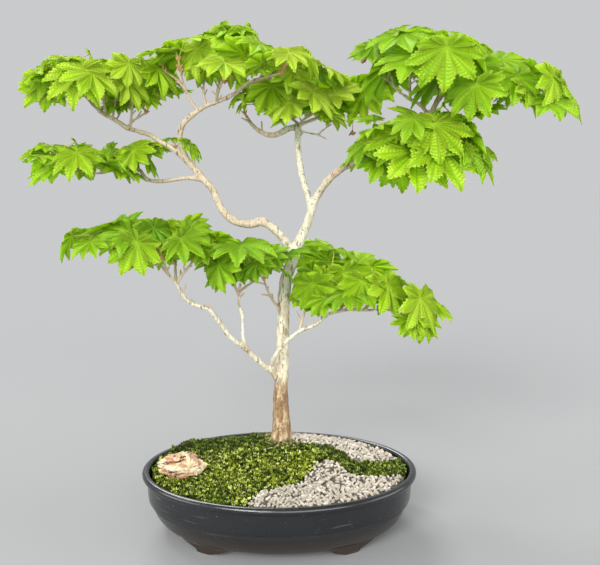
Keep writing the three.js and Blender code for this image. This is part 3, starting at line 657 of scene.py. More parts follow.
rock = {
    "centre": (-140, -30, 99), "half": (33.5, 24, 21), "turn": -0.10, "dip": 0.20,
    # the broken faces: which way each looks and how far out it lies
    "faces": [((0.15, 0.1, 1), 0.86), ((0.05, -0.72, 0.68), 0.86), ((0, -0.96, -0.28), 0.86), ((-1, -0.1, 0.15), 1.0),
        ((-0.72, 0.1, 0.70), 0.84), ((1, -0.1, -0.1), 0.95), ((0.66, 0, 0.75), 0.80), ((0, 1, 0.2), 0.9),
        ((0.62, -0.78, 0.05), 0.90), ((-0.66, -0.75, 0.05), 0.92), ((0.5, -0.5, -0.7), 0.86),
        ((-0.6, -0.4, -0.7), 0.84)],
    # how far the layers reach: an overhung foot, a ledge that stands out, and a hump behind it
    "levels": (-1, -0.62, 0.02, 0.09, 0.34, 0.43, 0.70, 1),
    "reaches": (0.78, 0.92, 0.90, 1.04, 1.06, 0.78, 0.78, 0.72),
}


def makeRock():
    piece = startWith(bpy.ops.mesh.primitive_ico_sphere_add, subdivisions=6, radius=1)
    places = points(piece)
    faces = [(Vector(way).normalized(), far) for way, far in rock["faces"]]
    for i, corner in enumerate(places):
        way = Vector(corner)
        way = (way + 0.10 * noise.noise_vector(way * 2.3)).normalized()
        out = min([1.12] + [far / way.dot(look) for look, far in faces if way.dot(look) > 0.1])
        x, y, z = Vector(corner) * out
        seed = Vector((x * 1.5, y * 1.2, z * 1.4))
        level = z + rock["dip"] * x + 0.10 * noise.noise(seed * 1.6) + 0.05 * noise.noise(seed * 5)
        reach = float(np.interp(level, rock["levels"], rock["reaches"]))
        reach += 0.16 * noise.turbulence(seed * 2.1, 5, True) - 0.07
        gap = max(0.0, 1 - abs(noise.noise(seed * 1.7 + Vector((2, 0, 5)))) * 8)   # cracks, deepest under the ledge
        reach -= gap * (0.30 if level < 0.08 else 0.10)
        behind = 0.12 * min(1.0, max(0.0, level - 0.34) * 8)   # the hump stands back and to the right
        rise = z * (1 + 0.22 * noise.noise(seed * 2.3)) - 0.10 * gap
        places[i] = np.array((x * reach + behind, y * reach + 1.6 * behind, rise)) * rock["half"]
    movePoints(piece, places * mm)
    piece.rotation_euler.z = rock["turn"]
    piece.location = [value * mm for value in rock["centre"]]
    settle(piece)
    smooth(piece, upTo=28)
    handOver(named(piece, "layered_rock"), "rock", rockFinish(), "rock")


def rockFinish():
    finish = Finish("layeredSandstone", Roughness=0.82, Specular_IOR_Level=0.3)
    layers = finish.noise(70, 6, stretch=(0.35, 0.5, 3.4), distortion=0.9)
    patches = finish.noise(48, 5, distortion=0.5)
    cracks = finish.spots(0.56, 0.60, 75, 6, stretch=(0.5, 0.8, 2.2), distortion=1.6)
    # height measured along the layers; the ledge's top is painted lighter in cream, a painted light
    tilt = finish.axis("z") + finish.axis("x") * 0.113 + patches * 0.004
    paintedLedgeLight = finish.between(tilt, 0.0852, 0.0870) * (1 - finish.between(tilt, 0.0915, 0.0930) * 0.75)
    tone = finish.ramp(layers, (0.0, (0.12, 0.035, 0.02)), (0.36, (0.32, 0.13, 0.07)), (0.46, (0.48, 0.25, 0.145)),
        (0.54, (0.58, 0.36, 0.23)), (1.0, (0.70, 0.55, 0.36)))
    # cream patches, with more cream on the ledge as painted light
    cream = finish.between(patches + paintedLedgeLight * 0.14, 0.52, 0.62)
    # the cracks are painted near black, a painted shade in the crevices, with less of it on the ledge
    finish.set(Base_Color=finish.over(tone, (cream * 0.85, (0.76, 0.66, 0.44)),
        (cracks * (0.9 - paintedLedgeLight * 0.5), (0.07, 0.025, 0.015)), (cracks * (1 - paintedLedgeLight), (0.035, 0.014, 0.010))))
    coarse = finish.bump(layers * 0.7 + patches * 0.3 - cracks * 0.5, 2.4 * mm)
    finish.set(Normal=finish.bump(finish.noise(700, 4), 0.6 * mm, onto=coarse))
    return finish.material


# the routes give x, y, z and radius of each point in millimetres, from the ground up
trunkRoute = inRows([2,50,60,16, 2,50,84,21, 2,50,100,19.5, 2,50,112,17, 2,50,126,14.5, 1,50,158,12.2, 1,50,189,11,
    3,50,220,10, 4,50,259,9.4, 5,50,297,9.2, 6,50,328,9, 9,50,358,8.8, 17,50,382,8.8, 24,52,402,8.4, 31,55,420,7.4,
    40,60,439,6.8, 46,62,458,6.4, 48,64,474,6], 4)

limbRoutes = {
    "leader_left": [47,63,464,5, 40,68,487,4.8, 34,74,505,4.7, 31,80,522,4.7, 28,86,542,5.4, 27,90,561,4.6,
        27,94,580,5.2, 28,95,590,4.2],
    "leader_right": [47,63,464,5.4, 57,60,484,5.4, 68,52,501,5.4, 81,44,514,5.3, 96,36,525,5.1, 123,20,537,4.9,
        152,5,549,4.8, 181,-8,564,4.5, 198,-15,578,4.3, 207,-20,592,4.1, 211,-23,604,3.8],
    "right_pad": [207,-20,594,3.4, 217,-28,614,3.2, 229,-35,622,3, 243,-42,625,2.8, 265,-50,624,2.5, 286,-58,620,2.2],
    "right_pad_left": [206,-19,590,3.2, 193,-14,606,2.8, 177,-6,616,2.5, 164,0,627,2.2, 151,6,640,2, 141,8,648,1.8],
    "centre_left": [28,94,584,4.6, 12,96,581,4.4, 0,100,575,4.4, -14,104,572,4.1, -29,108,577,3.7, -43,112,588,3.2,
        -51,116,600,2.4],
    "centre_right": [28,95,586,3, 45,100,593,2.7, 63,106,600,2.4, 85,110,606,2, 100,110,610,1.8],
    "centre_stub": [28,94,578,2.2, 45,90,574,1.9, 58,86,571,1.6, 75,80,562,1.1],
    "centre_stub_up": [56,86,571,1.4, 69,88,582,1.2, 84,92,591,1],
    "left_limb": [20,52,396,6.4, 9,50,414,6.2, -2,50,428,6, -14,50,438,6, -26,52,444,6.4, -44,56,440,6,
        -59,58,442,5.8, -74,60,449,5.6, -86,62,462,5.4, -93,64,477,5.2, -100,66,492,5.2, -109,68,502,5,
        -118,70,511,5.4, -130,72,525,4.8, -142,74,540,4.6],
    "left_top": [-138,73,534,4.4, -145,70,554,4.2, -146,66,572,4.2, -141,62,586,4.2, -130,60,596,4, -118,58,604,3.9,
        -106,56,611,3.6, -91,52,616,3.4, -76,48,621,3.2, -61,44,629,3, -47,40,639,2.7, -36,36,644,2.3,
        -26,30,647,1.9],
    "left_far": [-136,73,532,4.2, -156,76,549,3.8, -174,80,559,3.8, -194,84,571,3.6, -212,86,577,3.6, -228,88,582,3.9,
        -242,90,591,3.4, -259,92,600,3.2, -273,92,610,3, -283,92,621,2.6, -292,92,630,2],
    "left_low": [-112,69,506,3.8, -137,72,508,3.4, -158,76,505,3.2, -180,80,503,3.4, -198,82,505,3, -206,84,513,2.8,
        -212,86,520,3, -229,88,522,2.6, -248,90,520,2.4, -266,92,516,2.2, -284,92,515,2, -302,92,519,1.8,
        -312,92,522,1.6],
    "low_left": [3,48,196,5.2, -9,38,217,4.7, -21,32,230,4.4, -35,24,245,4.3, -52,14,264,4.2, -65,6,276,3.8,
        -72,2,284,3.8, -82,-6,301,3.6, -91,-12,316,3.4, -99,-16,326,3.4, -113,-20,331,3.2, -126,-24,338,3,
        -133,-28,350,2.8, -141,-30,364,2.8, -150,-32,376,2.5, -154,-36,388,2.2, -156,-40,398,1.9],
    "low_left_up": [-48,16,260,2.9, -53,16,280,2.6, -53,18,300,2.6, -54,20,312,3, -59,22,325,2.4, -59,24,339,2.4,
        -58,24,350,2.2, -57,22,360,1.8],
    "low_right": [-10,38,218,3.9, -11,28,238,3.4, -4,22,253,3.4, 11,16,273,3.2, 30,10,289,3.2, 47,4,297,3,
        61,0,307,2.8, 70,-4,316,2.7, 87,-10,322,2.6, 103,-16,325,2.4, 122,-22,325,2.2, 141,-28,327,2, 160,-34,327,1.8,
        170,-37,328,1.6],
}

# Each pad has the lightness of its leaves, a painted light and shade that lifts the upper left, upper middle and top
# centre pads and darkens lower ones, most of all the low middle pad, and its shoots. Each shoot has a list of its
# twig's points; of the lift, growth and roll of the leaves that stand where its solid's leaves do, from left to
# right, with growth 0 for one that stands closer in, among the next; of its other leaves, by the blade's middle, its
# heading, pitch and roll, and its length; and of its withered seed bunches.
pads = {
    "upper_left": (0.25,
        ([-292,92,630, -300,92,633], [4,1.22,30, -18,1.22,-30, -6,1.22,0, -6,1.22,-30], [-333,94,633,215,-13,16,58]),
        ([-283,92,621, -292,76,634, -303,58,645], [4,1.12,0, -18,1.22,15, 44,0.78,0, -18,0.9,15]),
        ([-259,92,600, -257,72,614, -252,48,632], [-18,1.22,30, -18,1.22,15, 14,1.22,-30, -18,1.22,30],
            [-270,8,655,247,62,-19,64], [-265,37,623]),
        ([-250,91,596, -247,90,612, -242,88,632], [44,1.22,-30, -18,1.22,-15, -18,1.12,-30, 44,1.22,-30]),
        ([-224,88,581, -219,80,602, -213,66,630, -211,62,646], [34,1.22,0, -18,0.9,-30, -18,1.22,0, -18,1.22,30]),
        ([-228,88,582, -220,91,592, -209,96,600, -202,99,605], [44,1.22,-30, 4,0.78,-30, 34,0.78,-30, 34,0.78,0],
            [-237,108,614,160,-7,-16,40, -177,96,638,356,-4,-18,34, -219,121,622,163,21,-1,34])),
    "upper_middle": (0.25,
        ([-135,57,634, -150,68,650, -168,78,662], [0,0,0, -18,0.9,-30, 44,1.12,15], [-207,57,673,180,30,-18,38]),
        ([-118,58,604, -128,59,618, -134,58,632, -139,52,647, -141,44,662], [0,0,0, -6,1.22,-30, 34,0.78,15],
            [-153,61,695,30,12,18,38], [-139,35,659]),
        ([-106,57,611, -110,61,632, -108,66,658], [24,1.12,30, -18,1.12,30, -18,1.12,-30, -18,1.22,-30]),
        ([-91,52,616, -89,70,640, -84,92,672, -80,102,696], [14,0.9,0, 0,0,0, -18,1.22,15, -18,0.78,15],
            [-69,84,720,262,45,-9,52, -94,104,723,208,52,7,58, -57,80,719,240,12,0,38]),
        ([-91,52,616, -86,36,628, -76,16,644], [-18,0.9,30, 24,1.02,0, 24,0.9,30], [], [-73,6,641]),
        ([-26,30,647, -22,27,656], [24,1.22,30, 24,1.02,-30, 4,1.22,0, 0,0,0], [-9,1,679,210,12,0,38]),
        ([-36,36,644, -14,22,648, 4,6,650], [44,0.9,30, 4,0.78,0, -18,0.78,0, -18,0.9,-15]),
        ([-47,40,639, -20,48,648, 8,56,650, 26,60,650], [-6,1.22,15, -18,1.22,-15, -6,1.22,15, 4,1.22,0],
            [59,78,660,8,13,-9,40])),
    "top_centre": (0.25,
        ([-51,116,600, -54,119,605], [0,0,0, 24,0.78,30, -18,1.22,30], [-28,100,612,346,31,-10,52,
            -35,98,627,240,12,-18,38]),
        ([28,95,588, 10,98,602, -14,100,616], [-6,0.78,-15, 34,1.22,30, -18,1.22,15, -18,1.22,-30]),
        ([28,94,586, 36,82,594, 46,64,600], [-18,1.22,-30, 14,1.22,30, 14,1.22,-30, 44,1.22,30],
            [70,46,598,10,26,-12,34]),
        ([63,106,600, 72,112,606], [14,1.22,30, 14,1.22,-30, 44,1.22,-30], [38,93,605,245,13,18,64], [91,109,602]),
        ([100,110,610, 108,110,612], [34,1.22,30, -18,1.22,30, 44,1.02,-30], [117,88,638,148,-44,-19,40],
            [109,104,575])),
    "left_middle": (-0.08,
        ([-312,92,522, -320,92,525], [4,0.78,0, 44,0.78,0, -6,1.22,15], [-338,107,525,129,23,-9,52]),
        ([-302,92,519, -318,82,525, -332,70,530], [0,0,0, -18,1.22,-15, -18,0.78,0], [-347,42,539,300,12,0,38]),
        ([-284,92,515, -285,74,517, -284,60,519], [-6,1.22,-15, 14,1.22,0, 14,1.22,-15], [-316,47,528,178,18,-20,58]),
        ([-266,92,516, -262,106,518, -258,114,520], [14,1.22,-30, 24,1.02,15, -6,1.02,0],
            [-237,84,520,281,11,-18,46]),
        ([-212,87,518, -214,80,526], [-6,1.02,-30, -6,1.22,30, 14,1.22,-30, 0,0,0], [-198,76,534,331,55,-16,34,
            -204,96,558,330,12,0,38]),
        ([-142,74,540, -152,82,544, -156,92,546], [0,0,0, 0,0,0, 34,0.9,0, 0,0,0], [-134,69,557,343,55,-4,34,
            -204,94,556,176,13,-1,64, -192,98,555,210,12,0,38, -192,74,555,210,12,0,38, -192,74,545,180,12,0,38])),
    "low_left": (-0.2,
        ([-156,-40,398, -157,-42,401], [24,1.22,-30, -18,1.02,-30, 4,1.12,30, 24,1.22,15]),
        ([-150,-32,376, -168,-28,395, -192,-14,411], [14,1.12,15, 44,1.22,0, -18,1.22,-30, -6,1.22,15],
            [-192,-51,409,307,45,1,34]),
        ([-168,-28,395, -198,-30,408, -234,-30,414], [-18,1.02,30, -6,1.22,15, -18,1.22,30],
            [-269,-2,432,127,47,-3,34, -222,0,430,43,-46,21,46]),
        ([-141,-30,364, -145,-8,386, -148,22,408], [-18,1.12,30, -6,1.22,0, -6,1.12,-30, -6,1.22,30],
            [-165,38,412,142,60,15,46]),
        ([-141,-30,364, -131,-26,378, -122,-22,389, -119,-20,394], [-6,1.22,-30, 4,0.78,30, 4,1.02,-15,
            14,1.22,-30])),
    "low_middle": (-0.42,
        ([-59,24,339, -65,12,356, -76,-4,371], [44,1.12,15, -18,1.02,30, -18,1.22,-15, 44,1.22,30],
            [-52,-41,419,308,14,7,58]),
        ([-57,22,360, -57,22,364], [4,0.9,30, 24,0.9,-15, -18,1.22,-15, 44,1.22,30]),
        ([-58,24,344, -47,20,353, -34,14,362], [14,1.22,-15, 4,1.02,30, -6,1.12,-30, 14,0.78,-30],
            [-66,18,389,184,38,-22,58]),
        ([5,48,308, -11,42,329, -19,40,347, -23,40,360], [-18,1.22,30, -6,1.22,-15, 44,1.22,15],
            [8,61,398,28,-3,9,40])),
    "low_right": (-0.1,
        ([29,11,288, 33,14,303, 37,18,317, 40,19,332], [0,0,0, -18,1.12,-30, -18,1.22,30, -6,1.22,30],
            [41,19,325,300,12,-18,38]),
        ([61,0,307, 66,18,330, 74,38,350], [-18,1.22,30, -18,1.22,30, -6,1.22,30, 34,1.22,30],
            [71,86,381,149,-45,-13,64, 82,65,401,83,-1,19,64]),
        ([85,-9,321, 92,-12,331], [-18,1.22,30, 24,1.22,15, 14,1.22,-30], [66,-35,345,213,42,-18,34]),
        ([120,-21,325, 130,-23,337], [-18,1.12,-15, 44,1.22,-30, -18,1.22,-15, -6,0.78,0], [132,20,381,67,40,-12,46,
            174,-44,338,324,38,-22,64]),
        ([170,-37,328, 176,-39,330], [-18,1.12,30, -18,1.22,-30, -18,1.22,15, 0,0,0], [175,-82,324,274,42,-5,34,
            219,-19,327,5,25,20,34, 186,-61,331,321,55,-10,46, 193,-41,319,270,50,0,38])),
    "right_top": (-0.1,
        ([141,8,648, 135,8,660], [0,0,0, 4,0.9,15, 44,1.02,0, 44,1.22,-30], [159,26,661,77,59,12,40,
            143,28,693,330,30,0,38], [115,2,666, 156,2,665]),
        ([180,-8,613, 179,-10,632, 178,-14,658], [14,0.78,15, -18,1.22,0, 44,1.22,-15, 14,1.02,-15],
            [148,11,659,159,56,14,58, 160,-56,691,270,24,13,58], [180,-21,687]),
        ([217,-28,614, 213,-50,628, 207,-76,642], [4,1.22,-30, -18,1.22,15, -6,1.22,-30, -18,1.22,-15]),
        ([209,-21,602, 222,-8,626, 236,10,645, 244,24,662], [-18,1.22,-30, -18,1.22,0, 24,1.22,-15, -6,0.78,-15]),
        ([243,-42,625, 250,-48,630], [-18,1.22,15, -18,1.22,-15, 24,1.12,30], [216,-41,644,156,42,8,64]),
        ([243,-42,625, 252,-64,616, 264,-88,608], [-18,1.02,30, -18,1.22,0, -6,1.22,15],
            [306,-111,618,314,60,-13,40]),
        ([286,-58,620, 291,-52,624], [-18,1.22,30, 4,1.22,-15, -18,1.22,15, -6,1.22,-30]),
        ([286,-58,620, 306,-70,617, 324,-77,613], [24,1.22,-15, -18,1.02,-30, -18,1.12,0],
            [333,-121,603,280,38,2,40])),
    "right_middle": (0.04,
        ([150,6,548, 151,14,545, 150,22,544], [0,0,0, 4,1.22,0, -18,1.22,-15, -18,1.22,0], [169,64,538,51,59,-7,64,
            148,4,537,286,44,2,52, 126,35,539,164,18,6,46, 183,4,531,330,50,-18,48]),
        ([181,-8,564, 177,-20,558, 170,-28,552], [34,1.02,-30, 24,0.78,15, -18,1.22,0, -18,1.22,-30],
            [181,-67,542,264,51,-13,64, 202,-14,580,141,-39,2,58]),
        ([181,-8,564, 189,-30,562, 197,-50,556], [-18,1.02,-30, -18,1.22,15, -18,1.22,-15], [209,-85,548,302,56,17,64,
            239,-78,553,319,53,13,52, 244,-65,554,355,47,20,64]),
        ([198,-15,578, 216,-26,576, 233,-38,568], [24,0.78,30, -18,1.22,30, 44,0.78,15, 0,0,0],
            [254,-40,567,28,49,21,64, 272,-21,553,300,30,-18,38])),
}

limbRoutes = {name: inRows(route, 4) for name, route in limbRoutes.items()}
shoots = {}
# tone: the pad's lightness, a painted light and shade
for pad, (tone, *members) in pads.items():
    for number, parts in enumerate(members, 1):
        padded = zip((*parts, [], [], []), (3, 3, 7, 3))
        shoots["%s_%d" % (pad, number)] = [*(inRows(part, width) for part, width in padded), tone]

roots = [(10, 75), (95, 45), (165, 75), (215, 80), (265, 80), (320, 75)]   # angle in degrees, reach

wood = {
    "ringStep": 2.6, "voxel": 1.35, "twigRadius": (2.1, 1.25), "spurStep": 13, "spurLength": (4, 14),
    "relief": ((15, 2.0), (5, 1.0)), "budLength": 3.0,
    "scars": (((0.0275, 0.078, 0.5524), 5), ((0.0276, 0.086, 0.5864), 4), ((0.006, 0.036, 0.4178), 4)),
    "collar": (6.5, 9.5, 5),
}


def curveThrough(route, step):   # points every step along a smooth curve through the route's points
    route = np.array(route, float)
    padded = np.vstack([2 * route[0] - route[1], route, 2 * route[-1] - route[-2]])
    samples = []
    for before, start, end, after in zip(padded, padded[1:], padded[2:], padded[3:]):
        count = max(2, int(np.linalg.norm((end - start)[:3]) / step))
        for t in np.arange(count) / count:
            samples.append(0.5 * (2 * start + (end - before) * t
                + (2 * before - 5 * start + 4 * end - after) * t ** 2
                + (3 * start - before - 3 * end + after) * t ** 3))
    return np.array([*samples, route[-1]])


def rollTube(samples, sides, flute=None):   # a grid rolled round a route and drawn together at both ends
    centres, radii = samples[:, :3], np.maximum(samples[:, 3], 0.3)
    centres = np.vstack([centres[0], centres, centres[-1]])
    radii = np.concatenate([[0], radii, [0]])
    along = np.gradient(centres[1:-1], axis=0)
    along = np.vstack([along[0], along, along[-1]])
    along /= np.linalg.norm(along, axis=1)[:, None]
    side = np.array([0.31, 0.93, 0.2])
    sideways = []
    for direction in along:
        side = side - direction * side.dot(direction)
        side /= np.linalg.norm(side)
        sideways.append(side)
    sideways = np.array(sideways)
    across = np.cross(along, sideways)
    piece, u, v = gridPiece(sides, len(centres) - 1)
    ring = np.rint(v * (len(centres) - 1)).astype(int)
    angle = 2 * math.pi * u
    radius = radii[ring] * (flute(angle, centres[ring]) if flute else 1)
    places = centres[ring] + radius[:, None] * (sideways[ring] * np.cos(angle)[:, None]
        + across[ring] * np.sin(angle)[:, None])
    movePoints(piece, places * mm)
    mergeDoubles(piece, 0.01 * mm)
    return piece


def trunkFlute(angle, centre):   # roots run up the foot of the trunk as ridges
    foot = np.clip((190 - centre[:, 2]) / 110, 0, 1)
    ridges = 0.09 * np.sin(5 * angle + 0.8) + 0.06 * np.sin(3 * angle + 2.1)
    return 1 + ridges * foot ** 1.5 + 0.025 * np.sin(2 * angle + centre[:, 2] / 31)


def rootRoutes():
    trunkX, trunkY = ground["trunk"]
    for angle, reach in roots:
        turn = math.radians(angle)
        yield [[trunkX + reach * share * math.cos(turn), trunkY + reach * share * math.sin(turn), z, radius]
            for share, z, radius in ((0.03, 96, 11), (0.24, 80, 8.5), (0.48, 66, 6), (0.72, 52, 4), (1, 42, 2.5))]


def knobbly(samples, every, swell):   # nodes stand a little proud along a twig
    length = np.arange(len(samples)) * 1.0
    samples = samples.copy()
    samples[:, 3] *= 1 + swell * np.maximum(0, np.cos(length * 2 * math.pi / every)) ** 6
    return samples


def makeTrunk():
    step = wood["ringStep"]
    tubes = [rollTube(curveThrough(trunkRoute, step), 40, trunkFlute)]
    tubes += [rollTube(curveThrough(route, step), 16) for route in rootRoutes()]
    for route in limbRoutes.values():
        samples = curveThrough(route, step)
        collar = np.exp(-np.arange(len(samples)) * step / 7.0)
        samples[:, 3] *= 1 + 0.28 * collar
        tubes.append(rollTube(knobbly(samples, 8, 0.14), 18))
    piece = joined(tubes, "trunk_and_limbs")
    modify(piece, "REMESH", mode="VOXEL", voxel_size=wood["voxel"] * mm, use_smooth_shade=True)
    modify(piece, "CORRECTIVE_SMOOTH", iterations=6, use_only_smooth=True)
    for number, (size, depth) in enumerate(wood["relief"]):
        texture = bpy.data.textures.new("barkRelief" + str(number), "CLOUDS")
        texture.noise_scale = size * mm
        texture.noise_depth = 3
        modify(piece, "DISPLACE", texture=texture, texture_coords="LOCAL", strength=depth * mm, mid_level=0.5)
    handOver(piece, "bark", barkFinish(), "tree")
    print("wood", len(piece.data.polygons), "faces")


def twigCurve(route, step):
    start, end = wood["twigRadius"]
    taper = np.linspace(start, end, len(route))
    return curveThrough([[*point, radius] for point, radius in zip(route, taper)], step)


def spurRoutes():   # short side twigs on the outer part of each limb and along the twigs
    hosts = [(curveThrough(route, 2.0), wood["spurStep"], 0.62) for route in limbRoutes.values()]
    hosts += [(twigCurve(route, 2.0), 0.7 * wood["spurStep"], 0.3) for route, *_ in shoots.values()]
    for samples, spacing, bare in hosts:
        tangents = np.gradient(samples[:, :3], axis=0)
        for at in range(int(len(samples) * bare), len(samples) - 3, int(spacing / 2.0)):
            if random.random() < 0.25:
                continue
            start, forward = samples[at], Vector(tangents[at]).normalized()
            sidewards = Vector((random.gauss(0, 1), random.gauss(0, 1), random.uniform(-0.3, 1.1)))
            sidewards = (sidewards - forward * sidewards.dot(forward)).normalized()
            heading = (sidewards + forward * random.uniform(0.3, 1.0)).normalized()
            length = random.uniform(*wood["spurLength"])
            radius = min(1.25, start[3] * 0.6)
            base = Vector(start[:3])
            bend = Vector((random.gauss(0, 1), random.gauss(0, 1), 1.2)) * length * 0.12
            middle = base + heading * length * 0.55 + bend
            tip = base + heading * length + bend * 1.6
            yield [[*base, radius * 1.2], [*middle, radius], [*tip, radius * 0.72]]


def budOn(tip, direction, length, width):   # a pointed bud in its scales
    bud = startWith(bpy.ops.mesh.primitive_uv_sphere_add, segments=7, ring_count=6, radius=1)
    places = points(bud)
    pointed = 1 - 0.35 * np.clip(places[:, 2], 0, 1)
    shape = np.column_stack([places[:, 0] * width * pointed, places[:, 1] * width * pointed, places[:, 2] * length])
    turn = Vector((0, 0, 1)).rotation_difference(Vector(direction).normalized()).to_matrix()
    movePoints(bud, (shape @ np.array(turn).T + np.array(tip)) * mm)
    return bud


def bractsOn(tip, direction):   # the pointed scales that a shoot has opened, spread round its foot
    narrow, long, count = wood["collar"]
    along = Vector(direction).normalized()
    sidewards = along.orthogonal().normalized()
    bracts = []
    for i in range(count):
        out = Matrix.Rotation(math.tau * i / count + random.uniform(-0.3, 0.3), 3, along) @ sidewards
        heading = (along + out * random.uniform(0.35, 0.75)).normalized()
        bracts.append(budOn(np.array(tip) + np.array(out) * 1.2 + np.array(heading) * 2.5, heading,
            random.uniform(narrow, long) / 2, 1.15))
    return bracts


def makeTwigs():
    tubes, buds = [rollTube(knobbly(twigCurve(route, 2.2), 5, 0.22), 8) for route, *_ in shoots.values()], []
    for route in spurRoutes():
        tubes.append(rollTube(knobbly(curveThrough(route, 2.2), 4, 0.2), 6))
        direction = np.subtract(route[-1][:3], route[-2][:3])
        tip = np.array(route[-1][:3])
        buds.append(budOn(tip, direction, wood["budLength"] * random.uniform(0.6, 1), route[-1][3] * 1.35))
    piece = joined(tubes, "twigs")
    smooth(piece)
    handOver(piece, "bark", twigFinish(), "tree")
    scales = joined(buds, "winter_buds")
    smooth(scales)
    handOver(scales, "bark", budFinish(), "tree")
    print("twigs", len(piece.data.polygons), "faces, buds", len(buds))


def barkFinish():
    finish = Finish("mapleBark", Roughness=0.8, Specular_IOR_Level=0.28)
    height, across = finish.axis("z"), finish.axis("x")
    limb = finish.between(abs(across - 0.025), 0.018, 0.045) * finish.between(height, 0.30, 0.42)
    foot = 1 - finish.between(height, 0.18, 0.23)
    crown = finish.between(height, 0.28, 0.46)
    broad = finish.noise(34, 4, stretch=(1, 1, 0.5), distortion=0.5)
    plates = finish.noise(150, 6, stretch=(1, 1, 0.34), roughness=0.68, distortion=0.6)
    streaks = finish.noise(260, 5, stretch=(1, 1, 0.20), roughness=0.64, distortion=0.5)
    flecks = finish.noise(360, 4, roughness=0.7)
    pale = finish.over(finish.mix(crown, (0.72, 0.69, 0.53), (0.66, 0.64, 0.51)),
        (limb * 0.8, (0.58, 0.46, 0.33)), (foot * 0.85, (0.52, 0.37, 0.20)))
    tan = finish.over(finish.mix(crown, (0.42, 0.30, 0.18), (0.46, 0.38, 0.27)),
        (limb * 0.8, (0.46, 0.34, 0.22)), (foot * 0.85, (0.20, 0.10, 0.04)))
    worn = finish.between(plates + broad * 0.35 + foot * 0.08 + limb * 0.01, 0.63, 0.77)
    lichen = finish.spots(0.60, 0.68, 95, 6, distortion=1.0)
    tone = finish.over(finish.mix(worn * (0.6 + foot * 0.25), pale, tan),
        (finish.between(streaks + foot * 0.03, 0.555, 0.63) * 0.8, (0.15, 0.085, 0.04)),
        (finish.between(flecks + foot * 0.02, 0.57, 0.64) * 0.6, (0.08, 0.05, 0.03)),
        (lichen * 0.45, finish.mix(crown, (0.50, 0.47, 0.33), (0.37, 0.40, 0.29))))
    for place, size in wood["scars"]:
        away = finish.add("ShaderNodeVectorMath", {"operation": "DISTANCE"}, finish.place, place, output=1)
        scar = 1 - finish.between(away + flecks * 3 * mm, (size + 0.5) * mm, (size + 3) * mm)
        tone = finish.mix(scar * 0.8, tone, (0.11, 0.07, 0.045))
    finish.set(Base_Color=tone)
    ridges = finish.bump(plates * 0.6 - streaks * 0.4, 1.4 * mm)
    finish.set(Normal=finish.bump(flecks, 0.5 * mm, onto=ridges))
    return finish.material


def twigFinish():
    finish = Finish("twigBark", Roughness=0.7)
    tone = finish.mix(finish.noise(90, 4), (0.40, 0.27, 0.16), (0.68, 0.58, 0.43))
    tone = finish.mix(finish.spots(0.55, 0.7, 55, 3) * 0.5, tone, (0.40, 0.42, 0.20))
    finish.set(Base_Color=tone, Normal=finish.bump(finish.noise(700, 3), 0.25 * mm))
    return finish.material


def budFinish():
    return twoTone("budScales", 0.55, (400, 3), ((0.46, 0.17, 0.08), (0.80, 0.47, 0.25)), (900, 2), 0.2)


leaf = {
    "lobes": [(140, 0.48), (106, 0.72), (72, 0.89), (36, 0.97), (0, 1.0),
        (-36, 0.97), (-72, 0.89), (-106, 0.72), (-140, 0.48)],
    "notch": (0.54, 0.66), "baseNotch": 0.13, "sideSteps": 10, "tooth": (0.036, 0.034), "rings": 4,
    "droop": (0.01, 0.13), "fold": 0.07, "curl": (-0.02, 0.12), "thickness": 0.36,
    "solidDroop": 0.26, "solidBaseNotch": 0.16, "solidApex": 0.7,
    "petiole": (0.85, 0.6), "stem": (1.35, 1.7),
}


def leafOutline(vary):   # the toothed edge, from the base round all the lobes, in shares of the leaf's length
    steps = leaf["sideSteps"]
    lobes = [(math.radians(angle + vary.gauss(0, 2.5)), reach * vary.uniform(0.92, 1.06))
        for angle, reach in leaf["lobes"]]
    toothOut, toothOn = leaf["tooth"]
    cut = vary.uniform(*leaf["notch"])
    x, y, side = [], [], []
    for i, (angle, reach) in enumerate(lobes):
        for k in range(2 * steps):
            first = k < steps
            share = k / steps if first else 2 - k / steps
            j = i - 1 if first else i + 1
            if 0 <= j < len(lobes):
                half = abs(angle - lobes[j][0]) / 2
                notch = cut * (reach + lobes[j][1]) / 2
            else:
                half = math.pi - abs(angle)
                notch = leaf["baseNotch"]
            notchX, notchY = notch * math.cos(half), notch * math.sin(half)
            forward = notchX + (reach - notchX) * share
            width = notchY * (1 - share) * (1 + 0.95 * share)
            if k % 2:
                size = vary.uniform(0.6, 1.25) * (1 - 0.55 * share)
                width += toothOut * size
                forward += toothOn * size
            elif 0 < share < 1:
                width -= 0.3 * toothOut
            width *= 1 if first else -1
            x.append(forward * math.cos(angle) - width * math.sin(angle))
            y.append(forward * math.sin(angle) + width * math.cos(angle))
            side.append(share)
    return np.array(x + x[:1]), np.array(y + y[:1]), np.array(side + side[:1])


def makeLeaf(matrix, length, tone, seed):
    vary = random.Random(seed)
    outlineX, outlineY, side = leafOutline(vary)
    piece, u, v = gridPiece(len(outlineX) - 1, leaf["rings"])
    column = np.rint(u * (len(outlineX) - 1)).astype(int)
    x, y, side = outlineX[column] * v, outlineY[column] * v, side[column]
    reach = np.hypot(x, y)
    z = -vary.uniform(*leaf["droop"]) * reach ** 1.7 + leaf["fold"] * v * (1 - side) ** 0.8
    z -= vary.uniform(*leaf["curl"]) * (v * side) ** 3
    z += 0.014 * np.sin(7 * x + vary.uniform(0, 6)) + 0.014 * np.sin(8 * y + vary.uniform(0, 6))
    z += vary.uniform(-0.07, 0.07) * y * reach
    local = np.column_stack([x, y, z, np.full(len(x), 1 / length)]) * length
    movePoints(piece, (local @ np.array(matrix).T)[:, :3] * mm)
    mergeDoubles(piece, 0.002 * mm)
    paintAttribute(piece, "leafTone", np.full(len(piece.data.vertices), tone))
    return piece


